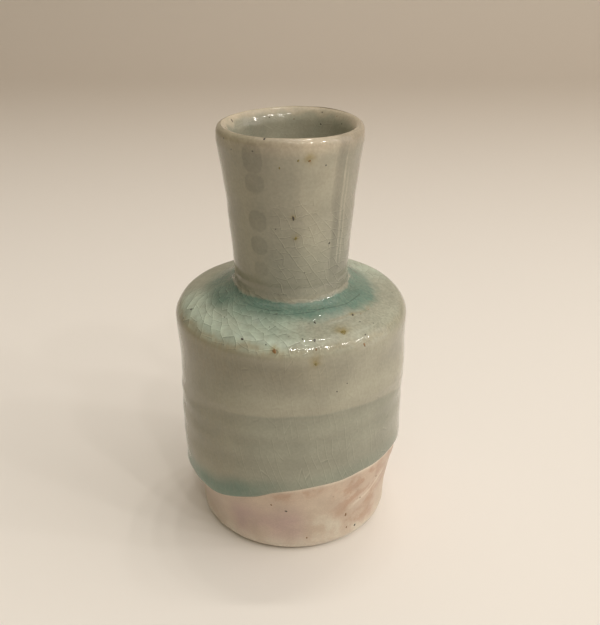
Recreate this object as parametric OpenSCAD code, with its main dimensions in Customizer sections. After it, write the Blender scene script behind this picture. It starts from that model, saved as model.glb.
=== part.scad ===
// Sake bottle: a thrown clay body with a separately thrown neck luted onto its shoulder,
// glazed inside and out down to a slanting dip line, with the foot left as bare clay.
// Millimetres, +Z up, -Y is the front. The origin is the middle of the resting face.

/* [Overall] */
// Height from the table to the top of the lip
total_height = 145; // [125:1:180]
// Width across the glazed shoulder, the widest place
shoulder_diameter = 80; // [66:1:100]
// Height at which the shoulder ends and the neck starts
shoulder_height = 91.8; // [70:0.1:112]

/* [Body] */
// How far the foot stands in from the wall above it
foot_inset = 4.8; // [2:0.1:7]
// Rounding under the edge of the foot
foot_round = 5; // [1.5:0.1:6]
// Height at which the wall has reached its full width
taper_height = 37; // [26:0.5:46]
// Rounding of the shoulder edge
shoulder_round = 5; // [2:0.1:8]
// Rise of the shoulder towards the neck, in degrees
shoulder_slope = 9; // [2:0.5:14]
// Thickness of the body's clay wall
body_wall = 4; // [2.5:0.1:5.5]
// Thickness of the clay floor
floor_thickness = 6; // [3:0.1:9]
// Rounding inside, where the wall meets the floor and the shoulder
inside_round = 7; // [3:0.1:10]

/* [Neck] */
// Width of the glazed neck at its waist
neck_diameter = 38; // [28:0.1:44]
// How far the neck widens from its waist to its lip
neck_taper = 3.7; // [1:0.1:6]
// How much further the lip turns out
lip_flare = 1.4; // [0:0.1:3]
// Thickness of the neck's clay wall
neck_wall = 3.4; // [2:0.1:4.5]
// Rounding where the neck rises from the shoulder
root_round = 4.5; // [2.5:0.1:6.5]
// Height of the slip layer that joins the neck to the body
seam_height = 1.6; // [0.8:0.1:2.4]
// How far the joint stands out as a ridge round the neck
seam_ridge = 0.45; // [0.2:0.05:1]

/* [Glaze] */
// Thickness of the first coat outside
first_thickness = 0.6; // [0.4:0.05:0.9]
// Thickness of the second coat over the first
second_thickness = 0.4; // [0.3:0.05:0.7]
// Thickness of the glaze lining
lining_thickness = 0.6; // [0.4:0.05:0.9]
// Thickness of the glaze on top of the lip, where it runs thin
lip_thickness = 0.3; // [0.2:0.05:0.5]
// Height of the lower dip line, on the bottle's axis
lower_line_height = 25; // [22:0.5:30]
// Slant of the lower dip line, in degrees
lower_line_tilt = 12; // [0:0.5:16]
// Height of the thick roll along the lower dip line
roll_height = 4.5; // [2:0.1:7]
// Thickness of that roll
roll_thickness = 0.95; // [0.7:0.05:1.4]
// Height of the second coat's edge, on the bottle's axis
upper_line_height = 58; // [50:0.5:66]
// Slant of the second coat's edge, in degrees
upper_line_tilt = 5; // [0:0.5:10]
// Side on which both lines are highest, in degrees from +X
line_azimuth = -45; // [-180:5:180]
// How far the pool of glaze reaches out over the shoulder
pool_reach = 7.5; // [5:0.1:11]
// How full the corner at the neck is, from empty to level
pool_fill = 0.35; // [0.2:0.05:0.6]

/* [Hidden] */
$fn = 128;

CLAY_COLOUR = [0.80, 0.69, 0.58];
SLIP_COLOUR = [0.74, 0.63, 0.52];
FIRST_COLOUR = [0.60, 0.68, 0.65];
SECOND_COLOUR = [0.69, 0.73, 0.68];
LINING_COLOUR = [0.56, 0.60, 0.53];
POOL_COLOUR = [0.42, 0.64, 0.61];
ROLL_COLOUR = [0.38, 0.56, 0.55];

// Points along each curved stretch of the outline
CURVE_STEPS = 10;
NECK_STEPS = 16;
// Share of the neck's height over which it bends from upright into its taper
WAIST_BEND = 0.05;
// Power of the share of the neck's height by which the lip turns out
FLARE_POWER = 4;
// Height below the lip over which the glaze runs thin
LIP_FADE = 4;
// Upright clay between the foot's rounding and the start of the taper
FOOT_UPRIGHT = 1.5;
// Half the height of the ridge that the joint makes
RIDGE_HALF = 2.2;
// Points closer than this are one point
SAME_POINT = 0.001;

outer_thickness = first_thickness + second_thickness;
wall_radius = shoulder_diameter / 2 - outer_thickness;
foot_radius = wall_radius - foot_inset;
waist_radius = neck_diameter / 2 - outer_thickness;
bore_radius = waist_radius - neck_wall;
ridge_height = shoulder_height + RIDGE_HALF;
seam_bottom = ridge_height - seam_height / 2;
seam_top = ridge_height + seam_height / 2;

crown_height = total_height - lip_thickness;
lip_round = neck_wall / 2;
lip_lean = atan((neck_taper + FLARE_POWER * lip_flare) / (crown_height - lip_round - shoulder_height));
neck_end = crown_height - lip_round * (1 + sin(lip_lean));
first_at_lip = lip_thickness * first_thickness / outer_thickness;

root_centre = [waist_radius + root_round, shoulder_height];
slope_start = root_centre + root_round * [-sin(shoulder_slope), -cos(shoulder_slope)];
shoulder_centre = [
    wall_radius - shoulder_round,
    slope_height(wall_radius - shoulder_round) - shoulder_round / cos(shoulder_slope)
];
pool_start = [slope_start.x + pool_reach, slope_height(slope_start.x + pool_reach)];

inner_wall_radius = wall_radius - body_wall;
inner_shoulder_centre = [
    inner_wall_radius - inside_round,
    slope_height(inner_wall_radius - inside_round) - (body_wall + inside_round) / cos(shoulder_slope)
];
inner_root_centre = [
    bore_radius + root_round,
    slope_height(bore_radius + root_round) + (root_round - body_wall) / cos(shoulder_slope)
];

// Height of the clay shoulder's straight slope at a radius
function slope_height(radius) = slope_start.y - tan(shoulder_slope) * (radius - slope_start.x);

// Share of the way from 0 to 1, with a soft start and a soft end
function eased(share) = (1 - cos(180 * share)) / 2;

// How far the glaze has run thin towards the lip, 0 to 1
function fade(height) = eased(max(0, min(1, 1 - (crown_height - height) / LIP_FADE)));

// Radius of the clay neck at a height, without the ridge: upright at the waist, then a straight taper,
// and turning out further towards the lip
function neck_radius(height) =
    let (share = (height - shoulder_height) / (neck_end - shoulder_height))
    waist_radius + neck_taper * (sqrt(pow(share, 2) + pow(WAIST_BEND, 2)) - WAIST_BEND)
        / (sqrt(1 + pow(WAIST_BEND, 2)) - WAIST_BEND) + lip_flare * pow(share, FLARE_POWER);

// How far the joint stands out from the neck at a height
function ridge(height) =
    seam_ridge * eased(max(0, 1 - abs(height - ridge_height) / RIDGE_HALF));

// A station is [radius, height, normal's radius part, normal's height part].
// Stations along an arc; side is 1 for a normal that leaves the centre, -1 for one towards it
function arc_stations(centre, radius, from, to, side = 1) =
    [for (i = [0:CURVE_STEPS])
        let (a = from + (to - from) * i / CURVE_STEPS)
        [centre.x + radius * cos(a), centre.y + radius * sin(a), side * cos(a), side * sin(a)]];

// Stations along a wall that eases from one radius and height to another
function taper_stations(low, high, side = 1) =
    [for (i = [0:CURVE_STEPS])
        let (share = i / CURVE_STEPS,
            lean = (high.x - low.x) / (high.y - low.y) * PI / 2 * sin(180 * share),
            size = side * norm([1, lean]))
        [low.x + (high.x - low.x) * eased(share), low.y + (high.y - low.y) * share, 1 / size, -lean / size]];

// Stations up the outside of the neck between two heights, ridge included
function neck_stations(from, to, steps) =
    [for (i = [0:steps])
        let (height = from + (to - from) * i / steps,
            lean = (neck_radius(height + 0.01) + ridge(height + 0.01)
                - neck_radius(height - 0.01) - ridge(height - 0.01)) / 0.02,
            size = norm([1, lean]))
        [neck_radius(height) + ridge(height), height, 1 / size, -lean / size]];

// Stations up the bore of the neck, one wall in from the outside
function bore_stations(from, to, steps) =
    [for (i = [0:steps])
        let (height = from + (to - from) * i / steps,
            lean = (neck_radius(height + 0.01) - neck_radius(height - 0.01)) / 0.02,
            size = norm([1, lean]))
        [neck_radius(height) - neck_wall / size, height + neck_wall * lean / size, -1 / size, lean / size]];

// Points at a depth out from the stations, thinning to another depth on the lip
function skin(stations, depth = 0, at_lip = 0) =
    [for (s = stations)
        let (d = depth + (at_lip - depth) * fade(s[1]))
        [s[0] + d * s[2], s[1] + d * s[3]]];

function reversed(points) = [for (i = [len(points) - 1:-1:0]) points[i]];

// The points without any that repeat the one before
function distinct(points) =
    [for (i = [0:len(points) - 1]) if (i == 0 || norm(points[i] - points[i - 1]) > SAME_POINT) points[i]];

// Points on a curve that leaves a for the pull point and arrives at b
function bent(a, pull, b) =
    [for (i = [0:CURVE_STEPS])
        let (t = i / CURVE_STEPS)
        pow(1 - t, 2) * a + 2 * t * (1 - t) * pull + pow(t, 2) * b];

slope_normal = [sin(shoulder_slope), cos(shoulder_slope)];
lip_centre = [
    neck_radius(neck_end) - lip_round * cos(lip_lean),
    neck_end + lip_round * sin(lip_lean)
];

foot_edge = arc_stations([foot_radius - foot_round, foot_round], foot_round, -90, 0);
outer_wall = concat(
    taper_stations([foot_radius, foot_round + FOOT_UPRIGHT], [wall_radius, taper_height]),
    arc_stations(shoulder_centre, shoulder_round, 0, 90 - shoulder_slope)
);
pool_floor = concat(
    [[pool_start.x, pool_start.y, slope_normal.x, slope_normal.y]],
    arc_stations(root_centre, root_round, 270 - shoulder_slope, 180, -1),
    neck_stations(shoulder_height, seam_bottom, CURVE_STEPS)
);
outer_seam = neck_stations(seam_bottom, seam_top, CURVE_STEPS);
outer_neck = concat(
    neck_stations(seam_top, ridge_height + RIDGE_HALF, CURVE_STEPS),
    neck_stations(ridge_height + RIDGE_HALF, neck_end, NECK_STEPS),
    arc_stations(lip_centre, lip_round, -lip_lean, 90)
);
glazed = concat(outer_wall, pool_floor, outer_seam, outer_neck);

inner_body = concat(
    [[0, floor_thickness, 0, 1]],
    arc_stations(
        [foot_radius - body_wall - inside_round, floor_thickness + inside_round], inside_round, -90, 0, -1),
    taper_stations(
        [foot_radius - body_wall, floor_thickness + inside_round],
        [inner_wall_radius, taper_height + FOOT_UPRIGHT], -1),
    arc_stations(inner_shoulder_centre, inside_round, 0, 90 - shoulder_slope, -1),
    arc_stations(inner_root_centre, root_round, 270 - shoulder_slope, 180),
    bore_stations(shoulder_height, seam_bottom, 1)
);
inner_seam = bore_stations(seam_bottom, seam_top, 1);
inner_neck = concat(
    bore_stations(seam_top, neck_end, NECK_STEPS),
    arc_stations(lip_centre, lip_round, 180 - lip_lean, 90)
);
lined = concat(inner_body, inner_seam, inner_neck);

// The solid that a closed outline sweeps round the axis
module turned(points) {
    rotate_extrude() polygon(distinct(points));
}

// The clay or glaze between two runs of points that start and end side by side
module layer(outside, inside) {
    turned(concat(outside, reversed(inside)));
}

// Everything above a slanting dip line
module above_line(height, tilt) {
    reach = total_height + shoulder_diameter;
    translate([0, 0, height])
        rotate([0, -tilt, line_azimuth])
            translate([-reach, -reach, 0])
                cube([2 * reach, 2 * reach, 2 * reach]);
}

module clay_body() {
    color(CLAY_COLOUR)
        layer(
            concat([[0, 0]], skin(foot_edge), skin(outer_wall), skin(pool_floor)),
            skin(inner_body)
        );
}

module luting_ring() {
    color(SLIP_COLOUR) layer(skin(outer_seam), skin(inner_seam));
}

module clay_neck() {
    color(CLAY_COLOUR) layer(skin(outer_neck), skin(inner_neck));
}

module glaze_roll() {
    color(ROLL_COLOUR)
        difference() {
            intersection() {
                layer(skin(outer_wall, roll_thickness), skin(outer_wall));
                above_line(lower_line_height, lower_line_tilt);
            }
            above_line(lower_line_height + roll_height, lower_line_tilt);
        }
}

module first_coat() {
    color(FIRST_COLOUR)
        intersection() {
            layer(skin(glazed, first_thickness, first_at_lip), skin(glazed));
            above_line(lower_line_height + roll_height, lower_line_tilt);
        }
}

module second_coat() {
    color(SECOND_COLOUR)
        intersection() {
            layer(
                skin(glazed, outer_thickness, lip_thickness),
                skin(glazed, first_thickness, first_at_lip)
            );
            above_line(upper_line_height, upper_line_tilt);
        }
}

module inner_glaze() {
    color(LINING_COLOUR) layer(skin(lined, lining_thickness, lip_thickness), skin(lined));
}

module shoulder_pool() {
    pool_bed = skin(pool_floor, outer_thickness);
    outer_end = pool_bed[0];
    neck_end_point = pool_bed[len(pool_bed) - 1];
    corner = [waist_radius, slope_height(waist_radius)] + outer_thickness * [1, 1];
    pull = corner + pool_fill * ((outer_end + neck_end_point) / 2 - corner);
    color(POOL_COLOUR) layer(bent(outer_end, pull, neck_end_point), pool_bed);
}

clay_body();
clay_neck();
luting_ring();
first_coat();
second_coat();
inner_glaze();
shoulder_pool();
glaze_roll();
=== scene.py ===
"""Looks of a hand-thrown celadon sake bottle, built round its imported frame.

Lengths are millimetres until a mesh is made. An angle round the bottle is 0 at the front (-Y) and grows
towards the right (+X). Heights are measured from the table, and +Z is up.
"""

from __future__ import annotations

import logging
from dataclasses import dataclass
from enum import Enum
from math import atan, cos, pi, radians, sin, sqrt, tan
from typing import Sequence

import bpy
import numpy as np
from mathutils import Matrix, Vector

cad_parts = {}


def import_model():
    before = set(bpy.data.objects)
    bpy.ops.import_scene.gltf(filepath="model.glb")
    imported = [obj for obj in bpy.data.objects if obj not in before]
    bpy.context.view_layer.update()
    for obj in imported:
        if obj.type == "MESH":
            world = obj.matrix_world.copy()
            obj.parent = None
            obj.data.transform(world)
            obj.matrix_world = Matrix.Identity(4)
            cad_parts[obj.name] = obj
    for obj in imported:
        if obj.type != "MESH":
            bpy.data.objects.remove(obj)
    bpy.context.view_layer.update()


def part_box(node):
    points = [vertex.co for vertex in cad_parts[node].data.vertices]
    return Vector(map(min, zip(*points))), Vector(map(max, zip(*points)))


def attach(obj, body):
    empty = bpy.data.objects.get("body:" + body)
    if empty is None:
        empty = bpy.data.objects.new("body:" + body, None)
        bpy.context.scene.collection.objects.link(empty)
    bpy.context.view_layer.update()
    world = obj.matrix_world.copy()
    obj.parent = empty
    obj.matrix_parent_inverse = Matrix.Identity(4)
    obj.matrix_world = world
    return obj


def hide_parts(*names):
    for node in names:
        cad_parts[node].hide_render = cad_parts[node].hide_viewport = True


LOG = logging.getLogger("sake_bottle")

MM = 0.001
COLUMNS = 448
HIDDEN_ROWS = 24
FINE_ROWS_HEIGHT = 44.0
WIRE_CENTRE = (34.0, 46.0)
WIRE_SPACING = 2.6
WIRE_DEPTH = 0.16
OUTLINE_STEP = 0.1
SHARP_ANGLE = radians(38)

Colour = tuple[float, float, float]
Facts = dict[str, np.ndarray]


def eased(share: np.ndarray | float) -> np.ndarray:
    """Soft step from 0 to 1: half a cosine wave, level outside that span."""
    return 0.5 - 0.5 * np.cos(pi * np.clip(share, 0.0, 1.0))


def bell(distance: np.ndarray, spread: float) -> np.ndarray:
    """Bell curve: e to the power of minus the squared distance over the squared spread."""
    return np.exp(-np.square(distance / spread))


def away(angle: np.ndarray, centre_deg: float) -> np.ndarray:
    """Degrees from a centre line, folded into minus half a turn to half a turn."""
    return (np.degrees(angle) - centre_deg + 180.0) % 360.0 - 180.0


def sector(angle: np.ndarray, centre_deg: float, half_deg: float, soft_deg: float) -> np.ndarray:
    """Share of a sector at an angle: 1 inside it, easing to 0 across its soft edges."""
    return eased((half_deg + soft_deg - np.abs(away(angle, centre_deg))) / soft_deg)


def arc(centre: tuple[float, float], radius: float, start: float, stop: float) -> np.ndarray:
    """Points on a circle in the half-plane of radius and height.

    Args:
        centre: Radius and height of the circle's centre.
        radius: The circle's own radius.
        start: First angle, counted from straight out.
        stop: Last angle.

    Returns:
        An array of points, radius first.
    """
    turn = np.linspace(start, stop, 40)
    return np.column_stack([centre[0] + radius * np.cos(turn), centre[1] + radius * np.sin(turn)])


@dataclass(frozen=True)
class Mottle:
    """Smooth unevenness that repeats exactly: a sum of seeded waves, a whole number of them round the bottle.

    Attributes:
        seed: Seed of the waves.
        patch: Usual size of a patch.
        reach: Radius at which that size is meant.
    """

    seed: int
    patch: float
    reach: float = 36.0

    def at(self, angle: np.ndarray, along: np.ndarray) -> np.ndarray:
        """Unevenness at angles and distances along the outline, usually between -2 and 2."""
        waves = 28
        rng = np.random.default_rng(self.seed)
        total = np.zeros(np.broadcast(angle, along).shape)
        for _ in range(waves):
            heading = rng.uniform(0.0, 2.0 * pi)
            pace = rng.uniform(0.5, 1.4) * pi / self.patch
            rounds = round(self.reach * pace * cos(heading))
            total += np.cos(rounds * angle + pace * sin(heading) * along + rng.uniform(0.0, 2.0 * pi))
        return total / sqrt(waves / 2)


@dataclass(frozen=True)
class Patch:
    """Places on an outline swept round the axis: a row per step along it, a column per step round it."""

    angle: np.ndarray
    along: np.ndarray
    radius: np.ndarray
    height: np.ndarray
    out_radius: np.ndarray
    out_height: np.ndarray


@dataclass(frozen=True)
class Outline:
    """Half of the bottle's section as evenly spaced points, with the directions that leave the clay."""

    points: np.ndarray
    normals: np.ndarray
    along: np.ndarray

    @classmethod
    def through(cls, stretches: Sequence[np.ndarray], side: float) -> Outline:
        """Joins stretches end to end and spaces their points evenly.

        Args:
            stretches: Point arrays from the bottom of the bottle to the top.
            side: 1 for normals away from the axis on an upright wall, -1 for normals towards it.

        Returns:
            The outline.
        """
        raw = np.vstack(stretches)
        moved = np.concatenate([[True], np.hypot(*np.diff(raw, axis=0).T) > 1e-6])
        raw = raw[moved]
        run = np.concatenate([[0.0], np.cumsum(np.hypot(*np.diff(raw, axis=0).T))])
        along = np.linspace(0.0, run[-1], int(run[-1] / OUTLINE_STEP))
        points = np.column_stack([np.interp(along, run, raw[:, axis]) for axis in (0, 1)])
        heading = np.gradient(points, along, axis=0)
        heading /= np.linalg.norm(heading, axis=1, keepdims=True)
        return cls(points, side * np.column_stack([heading[:, 1], -heading[:, 0]]), along)

    @property
    def end(self) -> float:
        """Distance along the outline of its last point."""
        return float(self.along[-1])

    def at_height(self, height: np.ndarray | float) -> np.ndarray:
        """Distance along the outline at a height; heights grow along it."""
        return np.interp(height, self.points[:, 1], self.along)

    def patch(self, angle: np.ndarray, along: np.ndarray) -> Patch:
        """The places at angles and at distances along the outline, one row per distance."""
        angle, along = np.broadcast_arrays(angle, along)
        sides = [np.interp(along, self.along, part) for part in (*self.points.T, *self.normals.T)]
        return Patch(angle, along, *sides)


@dataclass(frozen=True)
class BottleForm:
    """Sizes of the clay, measured on the frame where it shows them, and the outlines they give."""

    wall_radius: float
    shoulder_height: float
    waist_radius: float
    lip_radius: float
    crown_height: float
    seam_bottom: float
    seam_top: float
    foot_inset: float = 4.8
    foot_round: float = 5.0
    foot_upright: float = 1.5
    taper_height: float = 37.0
    shoulder_round: float = 5.0
    shoulder_slope: float = radians(9.0)
    body_wall: float = 4.0
    floor_thickness: float = 6.0
    inside_round: float = 7.0
    neck_wall: float = 3.4
    neck_taper: float = 3.7
    root_round: float = 4.5
    ridge: float = 0.45
    ridge_half: float = 2.2
    ridge_widening: float = 0.06
    waist_bend: float = 0.05
    flare_power: int = 4
    crest_inset: float = 1.6
    lip_bevel: float = 3.8

    @classmethod
    def from_frame(cls) -> BottleForm:
        """Reads the clay's sizes off the frame's own boxes."""
        body_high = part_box("clay_body")[1] / MM
        neck_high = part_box("clay_neck")[1] / MM
        ring_low, ring_high = (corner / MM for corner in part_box("luting_ring"))
        return cls(
            wall_radius=body_high.x,
            shoulder_height=(ring_low.z + ring_high.z) / 2 - cls.ridge_half,
            waist_radius=ring_high.x - cls.ridge - cls.ridge_widening,
            lip_radius=neck_high.x,
            crown_height=neck_high.z,
            seam_bottom=ring_low.z,
            seam_top=ring_high.z,
        )

    @property
    def foot_radius(self) -> float:
        """Radius of the bare foot."""
        return self.wall_radius - self.foot_inset

    @property
    def lip_round(self) -> float:
        """Radius of the rounding on top of the clay lip."""
        return self.neck_wall / 2

    @property
    def lip_flare(self) -> float:
        """How much further than its taper the lip turns out."""
        return self.lip_radius - self.waist_radius - self.neck_taper

    @property
    def lip_lean(self) -> float:
        """Angle by which the neck leans out at the lip."""
        rise = self.crown_height - self.lip_round - self.shoulder_height
        return atan((self.neck_taper + self.flare_power * self.lip_flare) / rise)

    @property
    def neck_end(self) -> float:
        """Height at which the outside of the neck meets the lip's rounding."""
        return self.crown_height - self.lip_round * (1 + sin(self.lip_lean))

    @property
    def ridge_height(self) -> float:
        """Height of the middle of the joint's ridge."""
        return self.shoulder_height + self.ridge_half

    @property
    def root_radius(self) -> float:
        """Radius at the foot of the neck, below its ridge."""
        return self.waist_radius + self.ridge

    def slope_height(self, radius: float) -> float:
        """Height of the shoulder's straight slope at a radius."""
        start = self.root_round * (1 - sin(self.shoulder_slope)) + self.root_radius
        top = self.shoulder_height - self.root_round * cos(self.shoulder_slope)
        return top - tan(self.shoulder_slope) * (radius - start)

    def neck_radius(self, height: np.ndarray) -> np.ndarray:
        """Radius of the clay neck: a hyperbola, upright at the waist, plus a fourth power at the lip."""
        share = (height - self.shoulder_height) / (self.neck_end - self.shoulder_height)
        bend = self.waist_bend
        taper = (np.sqrt(np.square(share) + bend**2) - bend) / (sqrt(1 + bend**2) - bend)
        flare = self.lip_flare * np.power(share, self.flare_power)
        return self.waist_radius + self.neck_taper * taper + flare

    def taper(self, low: tuple[float, float], high: tuple[float, float]) -> np.ndarray:
        """A wall that eases from one radius and height to another along half a cosine wave."""
        share = np.linspace(0.0, 1.0, 60)
        radius = low[0] + (high[0] - low[0]) * eased(share)
        height = low[1] + (high[1] - low[1]) * share
        return np.column_stack([radius, height])

    def lip(self, bottom: float, wall: float) -> np.ndarray:
        """One side of the lip, up to its crest: a quarter ellipse laid along the leaning wall.

        Args:
            bottom: Height at which this side starts to round over.
            wall: How far inside the neck's outer face it starts.

        Returns:
            An array of points, radius first.
        """
        turn = np.linspace(0.0, pi / 2, 40)
        heights = bottom + (self.crown_height - bottom) * np.sin(turn)
        inset = self.crest_inset + (wall - self.crest_inset) * np.cos(turn)
        return np.column_stack([self.neck_radius(heights) - inset, heights])

    def outside(self) -> Outline:
        """The clay's outline from the middle of the base, up the wall and the neck, to the top of the lip."""
        contact = self.foot_radius - self.foot_round
        edge = self.wall_radius - self.shoulder_round
        shoulder = (edge, self.slope_height(edge) - self.shoulder_round / cos(self.shoulder_slope))
        heights = np.linspace(self.shoulder_height, self.neck_end, 600)
        ridge = self.ridge * eased(1 - (heights - self.ridge_height) / self.ridge_half)
        stretches = [
            np.column_stack([np.linspace(0.0, contact, 40), np.zeros(40)]),
            arc((contact, self.foot_round), self.foot_round, -pi / 2, 0.0),
            self.taper(
                (self.foot_radius, self.foot_round + self.foot_upright), (self.wall_radius, self.taper_height)
            ),
            arc(shoulder, self.shoulder_round, 0.0, pi / 2 - self.shoulder_slope),
            arc(
                (self.root_radius + self.root_round, self.shoulder_height),
                self.root_round,
                1.5 * pi - self.shoulder_slope,
                pi,
            ),
            np.column_stack([self.neck_radius(heights) + ridge, heights]),
            self.lip(self.neck_end, 0.0),
        ]
        return Outline.through(stretches, 1.0)

    def inside(self) -> Outline:
        """The clay's outline from the middle of the floor, up the inside, to the top of the lip."""
        foot = self.foot_radius - self.body_wall
        wall = self.wall_radius - self.body_wall
        bore = self.waist_radius - self.neck_wall
        corner = self.floor_thickness + self.inside_round
        under = (self.body_wall + self.inside_round) / cos(self.shoulder_slope)
        shoulder = (wall - self.inside_round, self.slope_height(wall - self.inside_round) - under)
        over = (self.root_round - self.body_wall) / cos(self.shoulder_slope)
        root = (bore + self.root_round, self.slope_height(bore + self.root_round) + over)
        heights = np.linspace(self.shoulder_height, self.crown_height - self.lip_bevel, 300)
        stretches = [
            np.column_stack(
                [np.linspace(0.0, foot - self.inside_round, 40), np.full(40, self.floor_thickness)]
            ),
            arc((foot - self.inside_round, corner), self.inside_round, -pi / 2, 0.0),
            self.taper((foot, corner), (wall, self.taper_height + self.foot_upright)),
            arc(shoulder, self.inside_round, 0.0, pi / 2 - self.shoulder_slope),
            arc(root, self.root_round, 1.5 * pi - self.shoulder_slope, pi),
            np.column_stack([self.neck_radius(heights) - self.neck_wall, heights]),
            self.lip(self.crown_height - self.lip_bevel, self.neck_wall),
        ]
        return Outline.through(stretches, -1.0)


@dataclass(frozen=True)
class ThrownRing:
    """One soft ring that the potter's finger left round the wall: its height, its lift and its spread."""

    height: float
    lift: float
    spread: float


@dataclass(frozen=True)
class Dent:
    """A broad dent or bulge on one side of the wall: its lift, side, height and spread in height."""

    lift: float
    side_deg: float
    height: float
    spread: float

    def at(self, patch: Patch) -> np.ndarray:
        """Lift at each place: a bell in height and a soft sector in angle."""
        side = sector(patch.angle, self.side_deg, 34.0, 44.0)
        return self.lift * side * bell(patch.height - self.height, self.spread)


@dataclass(frozen=True)
class HandMarks:
    """How the hand-thrown clay differs from a turned one."""

    rings: tuple[ThrownRing, ...] = (
        ThrownRing(72.0, -0.62, 6.0),
        ThrownRing(63.0, 0.16, 3.2),
        ThrownRing(58.4, -0.13, 2.4),
        ThrownRing(54.4, 0.17, 2.5),
        ThrownRing(50.5, -0.12, 2.2),
        ThrownRing(46.4, 0.18, 3.0),
        ThrownRing(41.0, -0.10, 2.6),
        ThrownRing(101.5, 0.06, 2.2),
        ThrownRing(107.5, -0.07, 2.4),
        ThrownRing(113.5, 0.10, 2.4),
        ThrownRing(117.6, 0.14, 1.8),
        ThrownRing(122.0, -0.10, 2.6),
        ThrownRing(127.5, 0.07, 2.2),
        ThrownRing(133.0, -0.07, 2.4),
    )
    spiral: float = 1.3
    dents: tuple[Dent, ...] = (Dent(-0.85, -98.0, 61.0, 8.5), Dent(1.1, -94.0, 23.0, 9.0))
    oval: float = 0.12
    triangle: float = 0.08
    lean: float = -0.12
    foot_shift: float = 0.5
    rim_wave: float = 0.2

    def relief(self, patch: Patch) -> np.ndarray:
        """Lift of the clay off its outline.

        The rings are bells in height, each climbing and falling a little round the pot. A broad dent and
        a bulge under it lie on the left. An oval and a three-sided wave of low height run round the wall
        and die away at the foot, which has small uneven flats instead.

        Args:
            patch: Places on the outside.

        Returns:
            The lift at each place.
        """
        level = patch.height - self.spiral * np.sin(patch.angle - 0.4) - 0.5 * np.sin(2 * patch.angle + 1.0)
        rings = sum(ring.lift * bell(level - ring.height, ring.spread) for ring in self.rings)
        rings = rings * (0.55 + 0.45 * np.abs(np.cos(patch.angle)))
        dents = sum(dent.at(patch) for dent in self.dents)
        waves = self.oval * np.cos(2 * patch.angle + 0.6) + self.triangle * np.cos(3 * patch.angle - 1.0)
        unevenness = 0.03 * Mottle(5, 9.0).at(patch.angle, patch.along)
        on_foot = eased(patch.height / 4.0) * (1 - eased((patch.height - 26.0) / 12.0))
        flats = 0.07 * Mottle(41, 6.0).at(patch.angle, patch.along) * on_foot
        return (rings + dents + waves) * eased((patch.height - 2.0) / 24.0) + unevenness + flats

    def place(self, patch: Patch, lift: np.ndarray) -> np.ndarray:
        """Points in metres at a lift off the outline.

        The neck leans slightly to the left, the foot stands slightly to the right, and the rim rises and
        dips in two slow waves.

        Args:
            patch: Places on an outline.
            lift: Distance from the outline along its normal.

        Returns:
            An array of points, a row per step along the outline.
        """
        radius = np.maximum(patch.radius + lift * patch.out_radius, 0.0)
        height = patch.height + lift * patch.out_height
        wave = np.cos(patch.angle - 0.5) + 0.7 * np.cos(2 * patch.angle + 0.9)
        height = height + self.rim_wave * wave * eased((height - 128.0) / 15.0)
        lean = self.lean * eased((height - 55.0) / 110.0)
        lean = lean + self.foot_shift * (1 - eased((height - 6.0) / 34.0))
        across = radius * np.sin(patch.angle) + lean
        return MM * np.stack([across, -radius * np.cos(patch.angle), height], axis=-1)


@dataclass(frozen=True)
class Sag:
    """A place where the edge of a coat hangs lower: its depth, its angle and its spread."""

    depth: float
    angle_deg: float
    spread_deg: float


@dataclass(frozen=True)
class DipLine:
    """Edge of a coat of glaze: the rim of a tilted plane, with sags where the glaze ran, and small waves."""

    height: float
    rise: float
    peak_deg: float
    sags: tuple[Sag, ...]
    wave: float
    seed: int

    def at(self, angle: np.ndarray) -> np.ndarray:
        """Height of the edge at angles round the bottle."""
        tilt = self.rise * np.cos(np.radians(away(angle, self.peak_deg)))
        sag = sum(sag.depth * bell(away(angle, sag.angle_deg), sag.spread_deg) for sag in self.sags)
        return self.height + tilt - sag + self.wave * Mottle(self.seed, 9.0).at(angle, np.zeros_like(angle))


@dataclass(frozen=True)
class PaintedReflection:
    """A rounded patch of painted reflection on the neck: its angle, height, half-width and half-height."""

    angle_deg: float
    height: float
    half_width: float
    half_height: float
    strength: float

    def at(self, patch: Patch) -> np.ndarray:
        """Share of the painted reflection at each place, with an edge about half a millimetre soft."""
        across = np.radians(away(patch.angle, self.angle_deg)) * patch.radius / self.half_width
        up = (patch.height - self.height) / self.half_height
        reach = np.power(np.abs(across), 2.6) + np.power(np.abs(up), 2.6)
        return self.strength * eased((1.25 - reach) / 0.5)


@dataclass(frozen=True)
class PoolCrack:
    """A long dark crack round the pool: where it starts and stops, and how far it bulges outwards between."""

    start_deg: float
    stop_deg: float
    start_radius: float
    stop_radius: float
    bulge: float


class SpotTone(Enum):
    """Colour of an iron spot."""

    BLACK = (0.035, 0.028, 0.02)
    BROWN = (0.16, 0.085, 0.03)
    OLIVE = (0.15, 0.12, 0.035)


@dataclass(frozen=True)
class IronSpot:
    """A spot of iron: its angle, height, radius and tone, how long it is, its halo's radius, and its side."""

    angle_deg: float
    height: float
    size: float
    tone: SpotTone
    stretch: float = 1.0
    halo: float = 0.0
    inside: bool = False


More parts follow.
